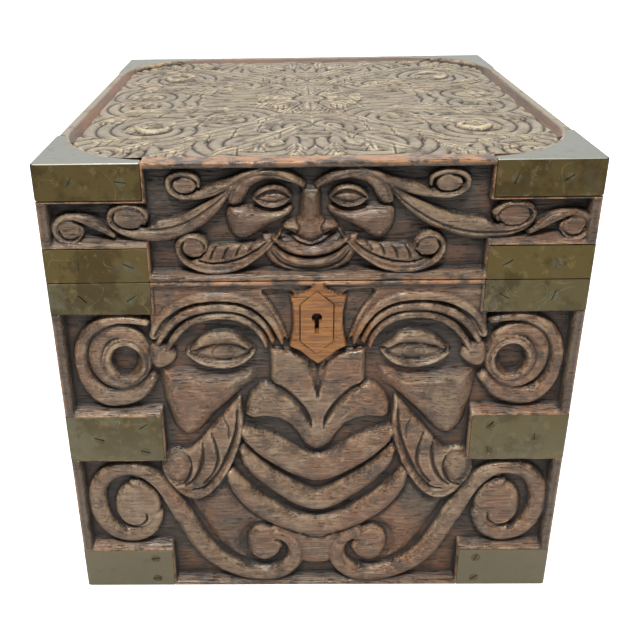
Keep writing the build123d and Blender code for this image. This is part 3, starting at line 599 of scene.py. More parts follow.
def mouth(carving):
    """Lips and chin of the large mask, one deep curve under another."""
    carving.band(whole([(84.5, 171.5, 6), (89, 181, 11), (97.5, 191.5, 13.5), (108, 199.5, 14.5),
        (119, 204.8, 15), (AXIS, 207.4, 15)]), 5.8, shoulder=1.8)
    carving.band(whole([(91.5, 156.5, 5), (95.5, 164, 10), (103, 172.6, 12), (112.5, 180.6, 13),
        (121.5, 187, 13.5), (AXIS, 190.6, 13.5)]), 6.2, shoulder=1.5)
    carving.band(whole([(92.5, 144.5, 6), (97.5, 149.5, 13), (105.5, 155.5, 17), (114, 161.5, 17.5),
        (122.5, 166.4, 18), (AXIS, 168.8, 18.5)]), 6.2, shoulder=1.7)
    carving.cut(whole([(93.5, 152.6, 1.2), (99.5, 160.5, 2.6), (107.5, 167.6, 3.6), (116, 173.4, 4),
        (123.5, 177.6, 4.6), (AXIS, 179.2, 5)]), 4.0, shoulder=1.4)
    carving.cut(whole([(90, 166, 1.4), (95.5, 175.5, 3), (103.5, 184.5, 3.6), (112.5, 192, 4.6),
        (121.5, 196.6, 6), (AXIS, 198.2, 6.4)]), 4.0, shoulder=1.4)
    carving.cut(whole([(93.4, 138.6, 2), (99, 139.8, 2.6), (107, 140, 2.8), (113.6, 143, 3), (118, 149, 3),
        (122, 155, 3), (127, 158, 3), (AXIS, 158.8, 3)]), 3.6, shoulder=1.3)
    carving.form([(118, 212), (118.6, 223), (121.4, 231), (126, 234.4), (135.4, 234.4), (140, 231),
        (142.8, 223), (143.4, 212)], 4.0, 3.4, 0.8)
    carving.cut([(123, 213.4), (127, 215.2), (134.4, 215.2), (138.4, 213.4)], 1.6, 1.8)


def moustache(half):
    """Leaf of the moustache and the ball that it curls round."""
    half.form([(91.2, 124.5), (92.4, 132), (92.2, 142), (90.6, 152), (87.6, 162), (83.4, 171), (78, 180),
        (71, 187), (64, 189.4), (57, 186), (52, 180), (48.6, 174), (47.6, 166), (50, 159), (56, 155.6),
        (62, 156.6), (67, 153), (72, 147), (77, 140), (83, 133), (88, 127)], 4.6, 2.8, 0.5)
    half.band([(90.6, 128, 2.4), (91, 140, 3), (89.2, 150.6, 3.4), (86, 160.5, 3.4), (81.6, 170, 3.6),
        (75.8, 179, 3.8), (69, 184.8, 4), (62, 185, 3.6), (57, 181.5, 2.4)], 5.6, shoulder=2.0)
    half.cut([(89.4, 131, 1), (88.2, 144, 2), (85.2, 154.5, 2.4), (81.4, 164, 2.4), (76.4, 173, 2.4),
        (70.4, 180, 2.2), (64, 181.4, 1.2)], 2.2)
    half.cut([(82, 136, 0.8), (84.4, 142, 1.6), (84.6, 149, 0.8)], 1.2)
    half.cut([(75.4, 146, 1), (77.6, 155, 2.2), (78, 163, 2.6), (75.4, 171, 2.4), (70, 177.6, 1.2)], 2.0)
    half.cut([(70.4, 152, 1), (70.2, 160, 2.6), (68.4, 168, 3), (64.8, 175, 2.2), (60, 179, 1)], 2.2)
    half.form([(55.6, 156.6), (60.6, 157.6), (63, 162.6), (63.2, 170), (60.6, 175.4), (56, 177.6),
        (51.6, 175), (48.6, 169), (49, 162), (51.4, 158)], 5.9, 5, 2.8, over=True)
    half.cut([(62.4, 159.5, 0.8), (63.8, 166, 1.6), (62.8, 172, 1.8), (59.4, 177.4, 1.6),
        (54.8, 178.6, 0.8)], 2.4)


def beard(half):
    """Bands of the beard, each rolled up at both its ends."""
    half.form([(62, 190), (72, 189), (80, 180), (84, 186), (92, 197), (102, 205), (94, 208), (89, 214),
        (88, 224), (91, 231), (84, 228), (76, 219), (70, 207)], 2.3, 6, 1.2)
    half.band([(40, 201, 5), (42, 193, 7), (39, 184, 8), (33, 177, 8)], 4.8)
    half.band([(56.5, 200, 10.5), (51.5, 188.5, 10), (44.5, 176.5, 9.5), (34, 169, 9), (21.5, 170.5, 9.5),
        (13, 179, 10), (10.8, 191, 10.5), (13.6, 203, 10.5), (21, 211, 10.5), (31, 212.6, 10),
        (39.6, 207.6, 9), (43, 199, 8)], 5.5, shoulder=2.2)
    half.band([(51.5, 188.5, 10), (56.5, 198, 11), (61.5, 210, 11.4), (67.6, 221.6, 11.6),
        (76, 231.6, 11.4), (87, 238.6, 11), (99, 241.8, 10.6), (110, 240.4, 10.4), (117.4, 233.6, 10.4),
        (119.4, 225, 10.4), (116, 216.4, 9.6), (108.5, 211.6, 9)], 5.5, shoulder=2.2,
        grooves=((0.62, 0.16, 0.5),))
    half.form([(32, 178), (39, 181), (44, 188), (45, 197), (41, 205), (33, 208), (25, 205.6), (20.6, 198),
        (20.8, 188), (25, 180.6)], 5.4, 4, 0.7)
    half.form([(101, 207.6), (107.6, 209.6), (111.6, 215), (111.6, 222.6), (107.6, 229), (101, 231.6),
        (94.8, 228.4), (92, 221.6), (92.6, 213.6), (96, 209)], 5.3, 4, 0.7)
    half.cut([(25, 209, 1), (21, 203.6, 2.4), (18.8, 195, 3.4), (19.2, 186.6, 3.8), (23, 179.4, 3.6),
        (29.6, 175.4, 3.0), (36.4, 176.4, 2.2), (42.6, 181.6, 2.2), (46.4, 189, 2.2), (47.2, 198, 2),
        (45.4, 206, 1.6), (42, 211.6, 1)], 4.2)
    half.cut([(37.4, 196.4, 0.8), (37.2, 201.6, 1.8), (34.2, 205, 2.2), (29, 206, 2), (24, 204, 0.9)], 2.2)
    half.cut([(97, 207.4, 1), (92.6, 211.6, 2), (91, 218.6, 2.2), (92.4, 226, 2), (97, 231, 2.2),
        (103.4, 232.6, 2.2), (109, 229.6, 2.2), (112.2, 223.4, 2), (111, 218, 1.8), (107.4, 216, 0.8)], 3.6)
    half.cut([(113, 219, 1), (115, 225, 2.4), (113, 231, 1)], 1.0)


def shield(carving):
    """Shield of bare oak round the keyhole, with the hollows beside it."""
    for half in halves(carving, AXIS):
        half.form([(103, 64.4), (111, 63.8), (118, 65), (119.4, 72), (119.6, 82), (118.8, 90), (117, 93.4),
            (115, 88.6), (112, 80), (108, 72)], 1.9, 1.0, over=True)
        half.laid_bare([(106, 83), (112, 84), (116.4, 92.4), (117, 97.6), (108, 97.6), (103, 90)], 0.6)
    outline = whole([(128.4, 59.6), (126.6, 62.6), (122, 65), (116.8, 66.6), (118.2, 75), (118.3, 83),
        (117.2, 90), (116, 93.8), (121.4, 96.6), (126, 100.8), (AXIS, 104.4)])
    carving.form(outline, CARVING_DEPTH, 0.8, sharp=True, over=True)
    carving.laid_bare(outline, 1.0, sharp=True)


def body_carving(across, down):
    """The large mask and the frame round it."""
    carving = Carving(across, down)
    for half in halves(carving, AXIS):
        for draw in (ear, brow, eye, cheek, moustache, beard):
            draw(half)
    mouth(carving)
    nose(carving)
    ledges_round_brass(carving, BODY_STRAPS, BODY_FIELD)
    shield(carving)
    return carving


def lid_eye(half):
    """Small eye between two lids."""
    half.form([(100, 18), (103, 14), (109.5, 11.8), (115, 13.4), (118.4, 17.4), (115, 21), (110, 22.6),
        (104, 21.6)], 3.2, 2.4, 0.5)
    half.form([(102.5, 18), (106, 16), (110, 15.2), (114, 16), (116.4, 17.6), (113.4, 19.6), (109.6, 20.4),
        (105.4, 19.8)], 3.6, 1.6, 0.6, over=True)
    half.band([(100.4, 18.2, 1), (104, 14.8, 2), (109.5, 13, 2.2), (114.4, 14.2, 2), (118, 17.6, 1)], 4.6,
        shoulder=2.0)
    half.band([(100.8, 18.4, 1), (104.6, 21, 1.8), (109.8, 21.9, 2), (114.6, 20.4, 1.8), (117.6, 17.8, 1)],
        4.4, shoulder=2.0)
    half.cut([(101.6, 17.6), (105.6, 15.5), (110, 14.7), (114, 15.5), (117, 17.4)], 1.3, 0.9)
    half.cut(oval((109.8, 17.8), 2.3, 2.0, 9), 0.5, 0.8)


def lid_brow_and_cheek(half):
    """Brow that runs into the hair, and the cheek under the small eye."""
    half.form([(88.6, 20.4), (89, 13.6), (93, 8.6), (98, 5.2), (104, 3.3), (110, 3.2), (117, 5.2),
        (122, 8.4), (125, 11.6), (123.6, 14), (120.4, 12.4), (116, 10.7), (110, 9.4), (104, 10.2),
        (99.6, 13), (97, 17.4), (94, 21)], 5.4, 3.0, 0.8)
    half.cut([(90.6, 18.6, 0.8), (92.6, 12.4, 1.4), (97.6, 8.2, 1.4), (104, 6.4, 1.4), (110.6, 6.6, 1.2),
        (117, 9, 0.8)], 0.9)
    half.form([(87.6, 25), (90, 21.6), (96, 21.4), (104, 22.8), (111, 23.4), (117.6, 21.6), (118.4, 25),
        (114, 28.2), (107, 31.6), (101, 35.6), (95.4, 38), (91, 36.4), (88, 31)], 6.0, 6.0, 1.6)
    half.cut([(101, 23.2, 0.8), (106, 24.4, 1.6), (112, 24, 1.6), (117, 21.6, 0.8)], 1.0)


def lid_nose_and_mouth(carving):
    """Nose, lips and chin of the small mask."""
    carving.form(whole([(104.4, 40), (104.6, 45), (108, 50.4), (113.6, 54), (120, 55.6), (LID_AXIS, 56)],
        LID_AXIS) + [(149.6, 36), (LID_AXIS, 36), (104, 36)], 4.6, 5, 1.0, sharp=True)
    carving.band(whole([(110.6, 42, 2.6), (114.4, 46, 4.8), (119.6, 48.6, 5.4), (LID_AXIS, 49.6, 5.6)],
        LID_AXIS), 5.9, shoulder=1.7)
    carving.band(whole([(109.6, 37.4, 2.4), (114.4, 40.6, 4.8), (120, 43.2, 5.6), (LID_AXIS, 44.4, 5.6)],
        LID_AXIS), 6.0, shoulder=1.8)
    carving.cut(whole([(109.4, 40, 0.8), (113.8, 43.6, 1.6), (119.4, 46, 1.9), (LID_AXIS, 47, 2)],
        LID_AXIS), 3.0, shoulder=1.4)
    carving.cut(whole([(108.4, 44, 0.8), (112, 48.6, 1.5), (118, 51.8, 2), (LID_AXIS, 53, 2.2)], LID_AXIS),
        1.6)
    carving.cut(whole([(113, 35.6, 0.8), (117, 37, 1.4), (121, 39.6, 1.6), (LID_AXIS, 41.2, 1.6)],
        LID_AXIS), 2.4)
    carving.form(whole([(122, 13), (121.6, 20), (121.4, 26.4), (119.4, 28.6), (115.4, 29.2), (113.2, 31.6),
        (113.8, 34), (117.4, 35.2), (121, 37.4), (124, 39.2), (LID_AXIS, 39.8)], LID_AXIS), 6.0, 3.4, 3.4,
        sharp=True, over=True)
    for half in halves(carving, LID_AXIS):
        half.cut([(119.8, 29.4, 0.8), (121.6, 32, 1.8), (120.6, 34.8, 1)], 1.6)
        half.cut([(116, 33.4, 0.8), (118.6, 33, 1.8), (120.6, 34.6, 0.8)], 1.6)


def lid_moustache(half):
    """Long leaf of the moustache, rolled up at its end."""
    half.form([(114, 33), (108.6, 37.2), (100.6, 39.8), (90, 40.4), (80, 40.8), (74.6, 46), (69, 48.6),
        (65, 46.6), (68.6, 51.4), (76, 54.8), (84, 55.4), (93, 53.4), (100.6, 49), (106.2, 43.4),
        (111.4, 37.2)], 4.6, 2.6, 0.5)
    half.band([(112.6, 35, 1.2), (106.4, 42.4, 2.2), (100, 47.6, 2.8), (93, 51.8, 3.2), (84, 53.8, 3.4),
        (75.6, 53, 3.4), (68.6, 49.8, 3.2), (64.8, 45, 3.2), (64.9, 40, 3.2), (68.4, 36.6, 3),
        (73.4, 36.4, 2.8), (77.2, 39.4, 2.4), (77, 43.4, 1.8), (73.6, 45.8, 1)], 5.5, shoulder=2.2)
    half.disc((71.2, 41.4), 6.2, 5.8, 4.8, 1.8, 0.4)
    half.cut([(77, 40, 0.8), (76.8, 44, 1.3), (73.2, 47, 1.5), (68.6, 46.2, 1.4), (66.2, 42.6, 1.2),
        (67.2, 39, 0.9)], 2.0)
    half.cut([(110.6, 35.4, 0.6), (104.6, 41, 1.4), (98, 45.4, 1.8), (90, 48.6, 1.8), (81, 49.8, 1.6),
        (74, 48.6, 1)], 1.9)
    veins = ((79.6, 47.6, 2.6, -5.6), (85.6, 47.4, 2.8, -5.8), (91.8, 45.8, 3, -5), (98, 43.6, 3, -3.8))
    for x, y, dx, dy in veins:
        half.cut([(x, y, 1.6), (x + 0.4 * dx, y + 0.6 * dy, 1.3), (x + dx, y + dy, 0.5)], 1.8)


def lid_hair(half):
    """Three hair scrolls, one after the other out to the end of the lid."""
    half.band([(105, 3.6, 1), (97.6, 6.4, 3), (90.4, 10.6, 4.6), (82, 14.2, 6), (74.6, 16.6, 4.4),
        (67.4, 17.2, 3.2), (62.4, 14, 3), (61.8, 9.6, 3), (65.4, 6.5, 3), (70.8, 6.2, 3), (74.8, 8.6, 2.4),
        (75.4, 12.4, 1.6)], 5.0, shoulder=2.2, grooves=((-0.25, 0.16, 0.5),))
    half.disc((68.4, 11.8), 6.6, 5.6, 4.3, 1.6, 0.3)
    half.cut([(74.6, 9.4, 0.8), (75, 12.6, 1.3), (71.6, 15.4, 1.6), (66.4, 15.2, 1.6), (63.6, 12.2, 1.5),
        (64.4, 9.2, 1.2), (67.6, 7.6, 1.0)], 2.0)
    half.band([(90.6, 12.4, 2), (86.4, 17.6, 5), (79.6, 23.6, 8), (70.6, 29.6, 9.6), (60, 33.2, 10.6),
        (50, 33.8, 10.4), (41.4, 33.2, 7), (35.4, 30.6, 4), (33.4, 26.8, 3), (35.6, 22.8, 3), (41.6, 21, 3),
        (47.6, 22.2, 2.8), (50.6, 26, 2.4), (49.4, 30, 1.6)], 5.5, shoulder=2.6,
        grooves=((0.25, 0.14, 1.4), (0.72, 0.1, 0.5)))
    half.disc((42, 26.8), 8.6, 5.8, 4.6, 1.8, 0.3)
    half.cut([(50.6, 26.6, 0.8), (49.8, 30, 1.3), (44.6, 32.2, 1.6), (38.4, 31.4, 1.5), (35, 28.2, 1.4),
        (35.6, 24.8, 1.0)], 2.0)
    half.band([(34.6, 35.4, 2.6), (28.6, 31.4, 5), (22.4, 28, 5.6), (16, 26.2, 3.4), (10.4, 27.4, 3.2),
        (7.4, 31.2, 3.2), (8.2, 36, 3), (12.6, 38.6, 3), (17.6, 37, 2.6), (19.8, 32.8, 2.2),
        (17.8, 29.8, 1.4)], 5.0, shoulder=2.4, grooves=((0.15, 0.14, 0.5),))
    half.disc((13.6, 32.6), 6.0, 6.0, 4.2, 1.8, 0.3)
    half.cut([(16.6, 28.4, 0.8), (19.4, 31.6, 1.4), (18.8, 35.4, 1.5), (15, 37.6, 1.5), (11, 36.6, 1.3),
        (9.2, 33, 1.0)], 2.0)


def lid_carving(across, down):
    """The small mask on the lid, with its hair scrolls and the frame round it."""
    carving = Carving(across, down)

    def hair_side(points, most=4.8, start=92, run=44):
        """The hair turned over the axis, which moves to the right for the scrolls at the lid's end."""
        shifts = [most * min(max((start - p[0]) / run, 0), 1) for p in points]
        return [(2 * (LID_AXIS + shift) - p[0], *p[1:]) for p, shift in zip(points, shifts)]

    drawn, turned = halves(carving, LID_AXIS)
    for face, hair in ((drawn, drawn), (turned, Half(carving, hair_side))):
        lid_hair(hair)
        lid_moustache(face)
        lid_brow_and_cheek(face)
        lid_eye(face)
    lid_nose_and_mouth(carving)
    ledges_round_brass(carving, LID_STRAPS, LID_FIELD)
    return carving


def leaf(carving, base, tip, width, height, bow=0.0):
    """Pointed leaf with a midrib and slanted veins."""
    run = np.subtract(tip, base)
    along = run / math.hypot(*run)
    across = np.array([-along[1], along[0]])

    def rib(share):
        return np.add(base, run * share) + across * bow * 4 * share * (1 - share)

    widths = ((0.0, 0.1), (0.25, 0.8), (0.5, 1.05), (0.75, 0.8), (1.0, 0.06))
    carving.band([(*rib(share), width * wide) for share, wide in widths], height, shoulder=1.8,
        grooves=((0.0, 0.12, 0.8), (0.5, 0.1, 0.35), (-0.5, 0.1, 0.35)), fade=0.5 * width)
    for share in (0.3, 0.5, 0.7):
        root = rib(share)
        for side in (-1, 1):
            reach = root + along * width * 0.55 + side * across * width * 0.42
            carving.cut([(*root, 0.8), (*(0.6 * reach + 0.4 * root), 1.4), (*reach, 1.2)], 0.5)


def top_carving(across, down):
    """Leaf sprays round a rosette, the same in each quarter of the sunk top."""
    carving = Carving(across, down)
    middle = np.array((across[-1] + across[0], down[-1] + down[0])) / 2
    sprays = (
        ((8, 40), (72, 96), 21, 3.4, 2), ((38, 24), (112, 30), 20, 3.6, 3),
        ((34, 40), (104, 76), 19, 3.5, -3), ((4, 60), (54, 120), 19, 3.3, 3),
        ((10, 96), (12, 122), 12, 3.0, 2), ((80, 92), (98, 110), 13, 3.4, 2),
        ((84, 84), (112, 96), 12, 3.0, -2), ((60, 100), (82, 120), 13, 3.1, 2),
        ((86, 10), (114, 8), 12, 3.0, 0), ((92, 44), (116, 56), 12, 3.2, -2),
        ((16, 70), (28, 118), 14, 2.8, -3), ((44, 30), (80, 8), 13, 2.8, 3),
        ((30, 30), (62, 48), 13, 2.6, 2), ((12, 34), (34, 62), 12, 2.7, -2),
    )
    swell = blurred(np.random.default_rng(8).normal(size=carving.level.shape), 8 / (across[1] - across[0]))
    swell = swell / np.abs(swell).max()
    x = np.abs(carving.x - middle[0])
    y = np.abs(carving.y - middle[1])
    fold = np.full(x.shape, 1e9)
    centres = ((84, 66, 1.0), (30, 92, 0.8), (44, 44, 0.9), (96, 14, 0.7), (104, 108, 0.8), (8, 60, 0.8))
    for n, (cx, cy, reach) in enumerate(centres):
        away = np.hypot(x - cx, y - cy)
        turn = np.arctan2(y - cy, x - cx)
        closer = away / reach < fold
        fold = np.where(closer, away / reach, fold)
        wave = np.sin(away / 2.4 - turn * (1 if n % 2 else -1) + 2.5 * swell)
        ridges = wave if n == 0 else np.where(closer, wave, ridges)
    carving.level = 0.7 + 0.4 * swell + 1.3 * np.abs(ridges) ** 0.7
    for fx in (-1, 1):
        for fy in (-1, 1):
            flip = np.array((fx, fy))
            for base, tip, width, height, bow in sprays:
                leaf(carving, middle + flip * base, middle + flip * tip, width, height, bow * fx * fy)
            curl = [(74, 60, 6), (88, 58, 6), (92, 68, 5.4), (84, 75, 5), (76, 70, 4), (79, 64, 2.4)]
            carving.band([(*(middle + flip * (right, under)), wide) for right, under, wide in curl], 3.7)
            carving.disc(middle + flip * (20, 98), 6, 6, 3.6, 3, 1)
    for n in range(8):
        turn = math.radians(45 * n)
        out = np.array((math.cos(turn), math.sin(turn)))
        half = np.array((math.cos(turn + math.pi / 8), math.sin(turn + math.pi / 8)))
        leaf(carving, middle + 14 * half, middle + 36 * half, 12, 2.6)
        leaf(carving, middle + 8 * out, middle + 33 * out, 17, 3.4)
    carving.disc(middle, 10, 10, 3.8, 4, 1.2)
    carving.band(oval(middle, 9.6, 9.6, 25), 2.0, 1.4)
    for n in range(6):
        turn = math.radians(60 * n)
        carving.disc(middle + 4.4 * np.array((math.cos(turn), math.sin(turn))), 1.8, 1.8, 4.0, 1.6, 0.5)
    carving.disc(middle, 2.0, 2.0, 4.0, 1.6, 0.5)
    return carving


# Boards with a carved face

def layers(carving, cell, depth):
    """How far each point stands out, lies in a hollow or lies near an edge of the board, from 0 to 1."""
    close, wide, far = [blurred(carving.level, reach / cell) for reach in (0.75, 3.0, 7.0)]
    wear = np.clip((carving.level - close - 0.04 * depth) / (0.30 * depth), 0, 1)
    cavity = np.clip((wide - carving.level) / (2.4 * depth), 0, 1)
    socket = np.clip((far - carving.level - 0.8 * depth) / (2.6 * depth), 0, 1)
    crease = np.clip((close - carving.level - 0.06 * depth) / (0.45 * depth), 0, 1)
    height = np.clip(carving.level / CARVING_DEPTH, 0, 1)
    return dict(zip(LAYERS, (wear, cavity, socket, crease, height, carving.bare, carving.edge, carving.rim)))


def relief(name, carving, cell, place, back, hole=None, depth=1.0):
    """Closed slab with the carving on its face. place gives its points, and back moves one to the rear."""
    rows, columns = carving.level.shape
    grid = bmesh.new()
    bmesh.ops.create_grid(grid, x_segments=columns - 1, y_segments=rows - 1, size=0.5)
    mesh = bpy.data.meshes.new(name)
    grid.to_mesh(mesh)
    grid.free()
    flat = np.empty(len(mesh.vertices) * 3, np.float32)
    mesh.vertices.foreach_get("co", flat)
    flat = flat.reshape(-1, 3)
    column = np.rint((flat[:, 0] + 0.5) * (columns - 1)).astype(int)
    row = rows - 1 - np.rint((flat[:, 1] + 0.5) * (rows - 1)).astype(int)
    points = place(carving.x[row, column], carving.y[row, column], carving.level[row, column])
    mesh.vertices.foreach_set("co", np.ascontiguousarray(points, np.float32).ravel())
    for key, layer in layers(carving, cell, depth).items():
        attribute = mesh.attributes.new(key, "FLOAT", "POINT")
        attribute.data.foreach_set("value", np.ascontiguousarray(layer[row, column], np.float32))
    mesh.polygons.foreach_set("use_smooth", np.ones(len(mesh.polygons), bool))
    slab = bmesh.new()
    slab.from_mesh(mesh)
    if hole:
        gone = [face for face in slab.faces if hole(face.calc_center_median())]
        bmesh.ops.delete(slab, geom=gone, context="FACES")
    rim = [edge for edge in slab.edges if edge.is_boundary]
    for edge in rim:
        edge.smooth = False
    walls = bmesh.ops.extrude_edge_only(slab, edges=rim)["geom"]
    for piece in walls:
        if isinstance(piece, bmesh.types.BMVert):
            piece.co = back(piece.co)
        elif isinstance(piece, bmesh.types.BMFace):
            piece.smooth = False
    far = [piece for piece in walls if isinstance(piece, bmesh.types.BMEdge) and piece.is_boundary]
    bmesh.ops.triangle_fill(slab, use_beauty=True, edges=far)
    bmesh.ops.recalc_face_normals(slab, faces=slab.faces)
    slab.to_mesh(mesh)
    slab.free()
    return mesh


def rest_of(node, origin, normal):
    """The part of a copy of a CAD node that lies behind a plane, closed along the plane."""
    copy = bmesh.new()
    copy.from_mesh(frame["nodes"][node].data)
    bmesh.ops.remove_doubles(copy, verts=copy.verts, dist=1e-6)
    geom = list(copy.verts) + list(copy.edges) + list(copy.faces)
    cut = bmesh.ops.bisect_plane(copy, geom=geom, dist=1e-7, plane_co=origin, plane_no=normal,
                                 clear_outer=True)
    edges = [piece for piece in cut["geom_cut"] if isinstance(piece, bmesh.types.BMEdge)]
    bmesh.ops.triangle_fill(copy, use_beauty=True, edges=edges)
    bmesh.ops.recalc_face_normals(copy, faces=copy.faces)
    for face in copy.faces:
        face.smooth = False
    mesh = bpy.data.meshes.new(node)
    copy.to_mesh(mesh)
    copy.free()
    return mesh


def joined(name, meshes):
    """One object of several meshes that keep their attributes."""
    whole = bmesh.new()
    for mesh in meshes:
        whole.from_mesh(mesh)
    result = bpy.data.meshes.new(name)
    whole.to_mesh(result)
    whole.free()
    for mesh in meshes:
        bpy.data.meshes.remove(mesh)
    return shown(name, result)


def shown(name, mesh):
    """Object in the scene, at the origin."""
    item = bpy.data.objects.new(name, mesh)
    bpy.context.scene.collection.objects.link(item)
    return item


def dressed(item, material, node):
    """Gives a piece its finish and its body, in place of a CAD node."""
    item.data.materials.clear()
    item.data.materials.append(material)
    node in SLOTS
    if item is not frame["nodes"][node]:
        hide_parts(node)
        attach(item, frame["nodes"][node]["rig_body"])
    return item


def dressed_as_is(material, *nodes):
    """Gives CAD nodes their finish and keeps their shape."""
    for node in nodes:
        dressed(frame["nodes"][node], material, node)


def front_point(x, y, level):
    """Point of the carved front in metres, for a column, a row and a level of the sheet."""
    return np.stack([x, FRONT + CARVING_DEPTH - level, TOP - SHEET_SCALE * y], axis=1) * MM


def front_sheet(low, high, cell):
    """Columns and rows of the front between two heights."""
    across = np.linspace(0, 2 * HALF_WIDTH, int(2 * HALF_WIDTH / cell) + 1)
    first = (TOP - high) / SHEET_SCALE
    last = (TOP - low) / SHEET_SCALE
    return across, np.linspace(first, last, int((high - low) / cell) + 1)


def rounding(distance, radius):
    """How far a rounded edge lies below the face, at a distance from the edge."""
    return radius - np.sqrt(np.maximum(radius ** 2 - np.maximum(radius - distance, 0) ** 2, 0))


def finish_front(carving, straps, edge=0.7, dark_side=6.6, dark_end=3.4, pinch=0.004):
    """Lets the brass in, rounds the board's edges and marks where they are rubbed bare."""
    first, last = carving.down[0], carving.down[-1]
    recess_for_brass(carving, straps)
    off = HALF_WIDTH - np.abs(carving.x - HALF_WIDTH)
    end = np.minimum(carving.y - first, last - carving.y) * SHEET_SCALE
    seated = np.zeros(carving.x.shape, bool)
    for top, bottom in straps:
        seated |= (carving.y > top) & (carving.y < bottom)
    drop = np.where(seated, 0, rounding(off, CORNER_ROUND)) + rounding(end, edge)
    carving.level = np.minimum(carving.level, CARVING_DEPTH - drop)
    carving.edge = np.clip(np.maximum(0.9 - off / 2.2, 1.0 - end / 1.9), 0, 1)
    carving.rim = np.clip(np.maximum(dark_side - off, dark_end - end), 0, 1)
    for top, bottom in straps:
        beside = np.minimum(np.abs(carving.y - top), np.abs(carving.y - bottom))
        along = (off < LEG + 1) & (beside < 0.55)
        carving.edge = np.where(along, np.maximum(carving.edge, 0.55), carving.edge)
        beyond = (carving.y > top) & (carving.y < bottom) & (off > LEG) & (off < LEG + 0.7)
        carving.edge = np.where(beyond, np.maximum(carving.edge, 0.6), carving.edge)
    under_plate = (straps[0][0] < first) & (off < LEG)
    carving.y = np.where(under_plate, np.maximum(carving.y, LET_IN / SHEET_SCALE), carving.y)
    reach = np.where(seated, HALF_WIDTH - LET_IN, HALF_WIDTH)
    side = np.abs(carving.x - HALF_WIDTH)
    side = np.where(side > reach, reach + pinch * (side - reach), side)
    carving.x = HALF_WIDTH + np.sign(carving.x - HALF_WIDTH) * side


def front_board(name, node, draw, straps, cell, material, hole=None):
    """Carved board of the front, in place of its CAD node."""
    low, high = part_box(node)
    across, down = front_sheet(low.z / MM, high.z / MM, cell)
    carving = draw(across, down)
    carving.tooled(cell)
    finish_front(carving, straps)
    carving.x = carving.x - HALF_WIDTH
    rear = (FRONT + CARVING_DEPTH + SLAB) * MM
    slab = relief(name, carving, cell, front_point, lambda p: Vector((p.x, rear, p.z)), hole)
    rest = rest_of(node, Vector((0, rear, 0)), Vector((0, -1, 0)))
    return dressed(joined(name, [slab, rest]), material, node)


def keyhole(centre, radius=3.4, slot=1.9, length=9.6):
    """True where a point of the front lies in the hole behind the keyhole."""
    x = centre.x / MM
    z = centre.z / MM - KEYHOLE_HEIGHT
    return math.hypot(x, z) < radius or (abs(x) < slot and -length < z < 0)


def inlaid_body(across, down, shoulder=7.0, seat_level=0.9):
    """The large mask with the seat of the keyhole inlay sunk into its shield."""
    carving = body_carving(across, down)
    x = np.abs(carving.x - HALF_WIDTH)
    z = TOP - SHEET_SCALE * carving.y
    half = INLAY_HIGH.x
    tip = (INLAY_HIGH.z - INLAY_LOW.z) / 2
    rise = np.abs(z - (INLAY_HIGH.z + INLAY_LOW.z) / 2)
    seat = (x < half) & (rise < tip - shoulder * x / half)
    carving.level = np.where(seat, seat_level, carving.level)
    return carving


def carved_top(name, node, cell, material, lip=5.0, radius=55.0, wall=1.2, fade=3.0, least=0.02, under=0.5):
    """Sunk carved panel of the lid, in place of its CAD node."""
    low, high = [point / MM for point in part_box(node)]
    across = np.linspace(low.x, high.x, int((high.x - low.x) / cell) + 1)
    down = np.linspace(-high.y, -low.y, int((high.y - low.y) / cell) + 1)
    carving = top_carving(across, down)
    ground = TOP - TOP_DEPTH
    beyond_x = np.maximum(np.abs(carving.x) - HALF_WIDTH + lip + radius, 0)
    beyond_y = np.maximum(np.abs(carving.y) + FRONT + lip + radius, 0)
    inner = np.hypot(beyond_x, beyond_y) - radius
    rim = np.clip((inner + wall) / wall, 0, 1) * TOP_DEPTH
    carved = np.maximum(carving.level * np.clip(-inner / fade, 0, 1), rim)
    carving.level = np.where(inner > wall, TOP_DEPTH - LET_IN, np.minimum(carved, TOP_DEPTH - least))
    carving.level = np.maximum(carving.level, least)
    carving.edge = np.clip(0.7 - np.abs(inner), 0, 1)

    def place(x, y, level):
        return np.stack([x, -y, ground + level], axis=1) * MM

    rear = (ground - under) * MM
    slab = relief(name, carving, cell, place, lambda p: Vector((p.x, p.y, rear)), depth=0.5)
    rest = rest_of(node, Vector((0, 0, rear)), Vector((0, 0, 1)))
    return dressed(joined(name, [slab, rest]), material, node)


# Brass

def block(low, high):
    """Cube stretched between two corners in millimetres."""
    solid = bmesh.new()
    bmesh.ops.create_cube(solid, size=1.0)
    size = [b - a for a, b in zip(low, high)]
    middle = [(a + b) / 2 for a, b in zip(low, high)]
    for vertex in solid.verts:
        vertex.co = Vector([m + v * s for m, v, s in zip(middle, vertex.co, size)]) * MM
    return solid


def rounded_prism(half_x, half_y, radius, low, high):
    """Upright prism of a rectangle with round corners."""
    solid = block((-half_x, -half_y, low), (half_x, half_y, high))
    upright = [edge for edge in solid.edges if abs(edge.verts[0].co.z - edge.verts[1].co.z) > 0.5 * MM]
    bmesh.ops.bevel(solid, geom=upright, offset=radius * MM, offset_type="OFFSET", affect="EDGES",
                    segments=12, profile=0.5, material=-1, clamp_overlap=False)
    return solid


def rod(point, direction, radius, length, radius_end=None, sides=32):
    """Round bar from a point along a direction, in millimetres."""
    solid = bmesh.new()
    bmesh.ops.create_cone(solid, cap_ends=True, cap_tris=False, segments=sides, radius1=radius * MM,
                          radius2=(radius if radius_end is None else radius_end) * MM, depth=length * MM)
    turn = Vector(direction).to_track_quat("Z", "Y").to_matrix().to_4x4()
    shift = Matrix.Translation((Vector(point) + Vector(direction) * length / 2) * MM)
    bmesh.ops.transform(solid, matrix=shift @ turn, verts=solid.verts)
    return solid


def made(name, solid):
    """Mesh object of a bmesh."""
    bmesh.ops.recalc_face_normals(solid, faces=solid.faces)
    mesh = bpy.data.meshes.new(name)
    solid.to_mesh(mesh)
    solid.free()
    return shown(name, mesh)


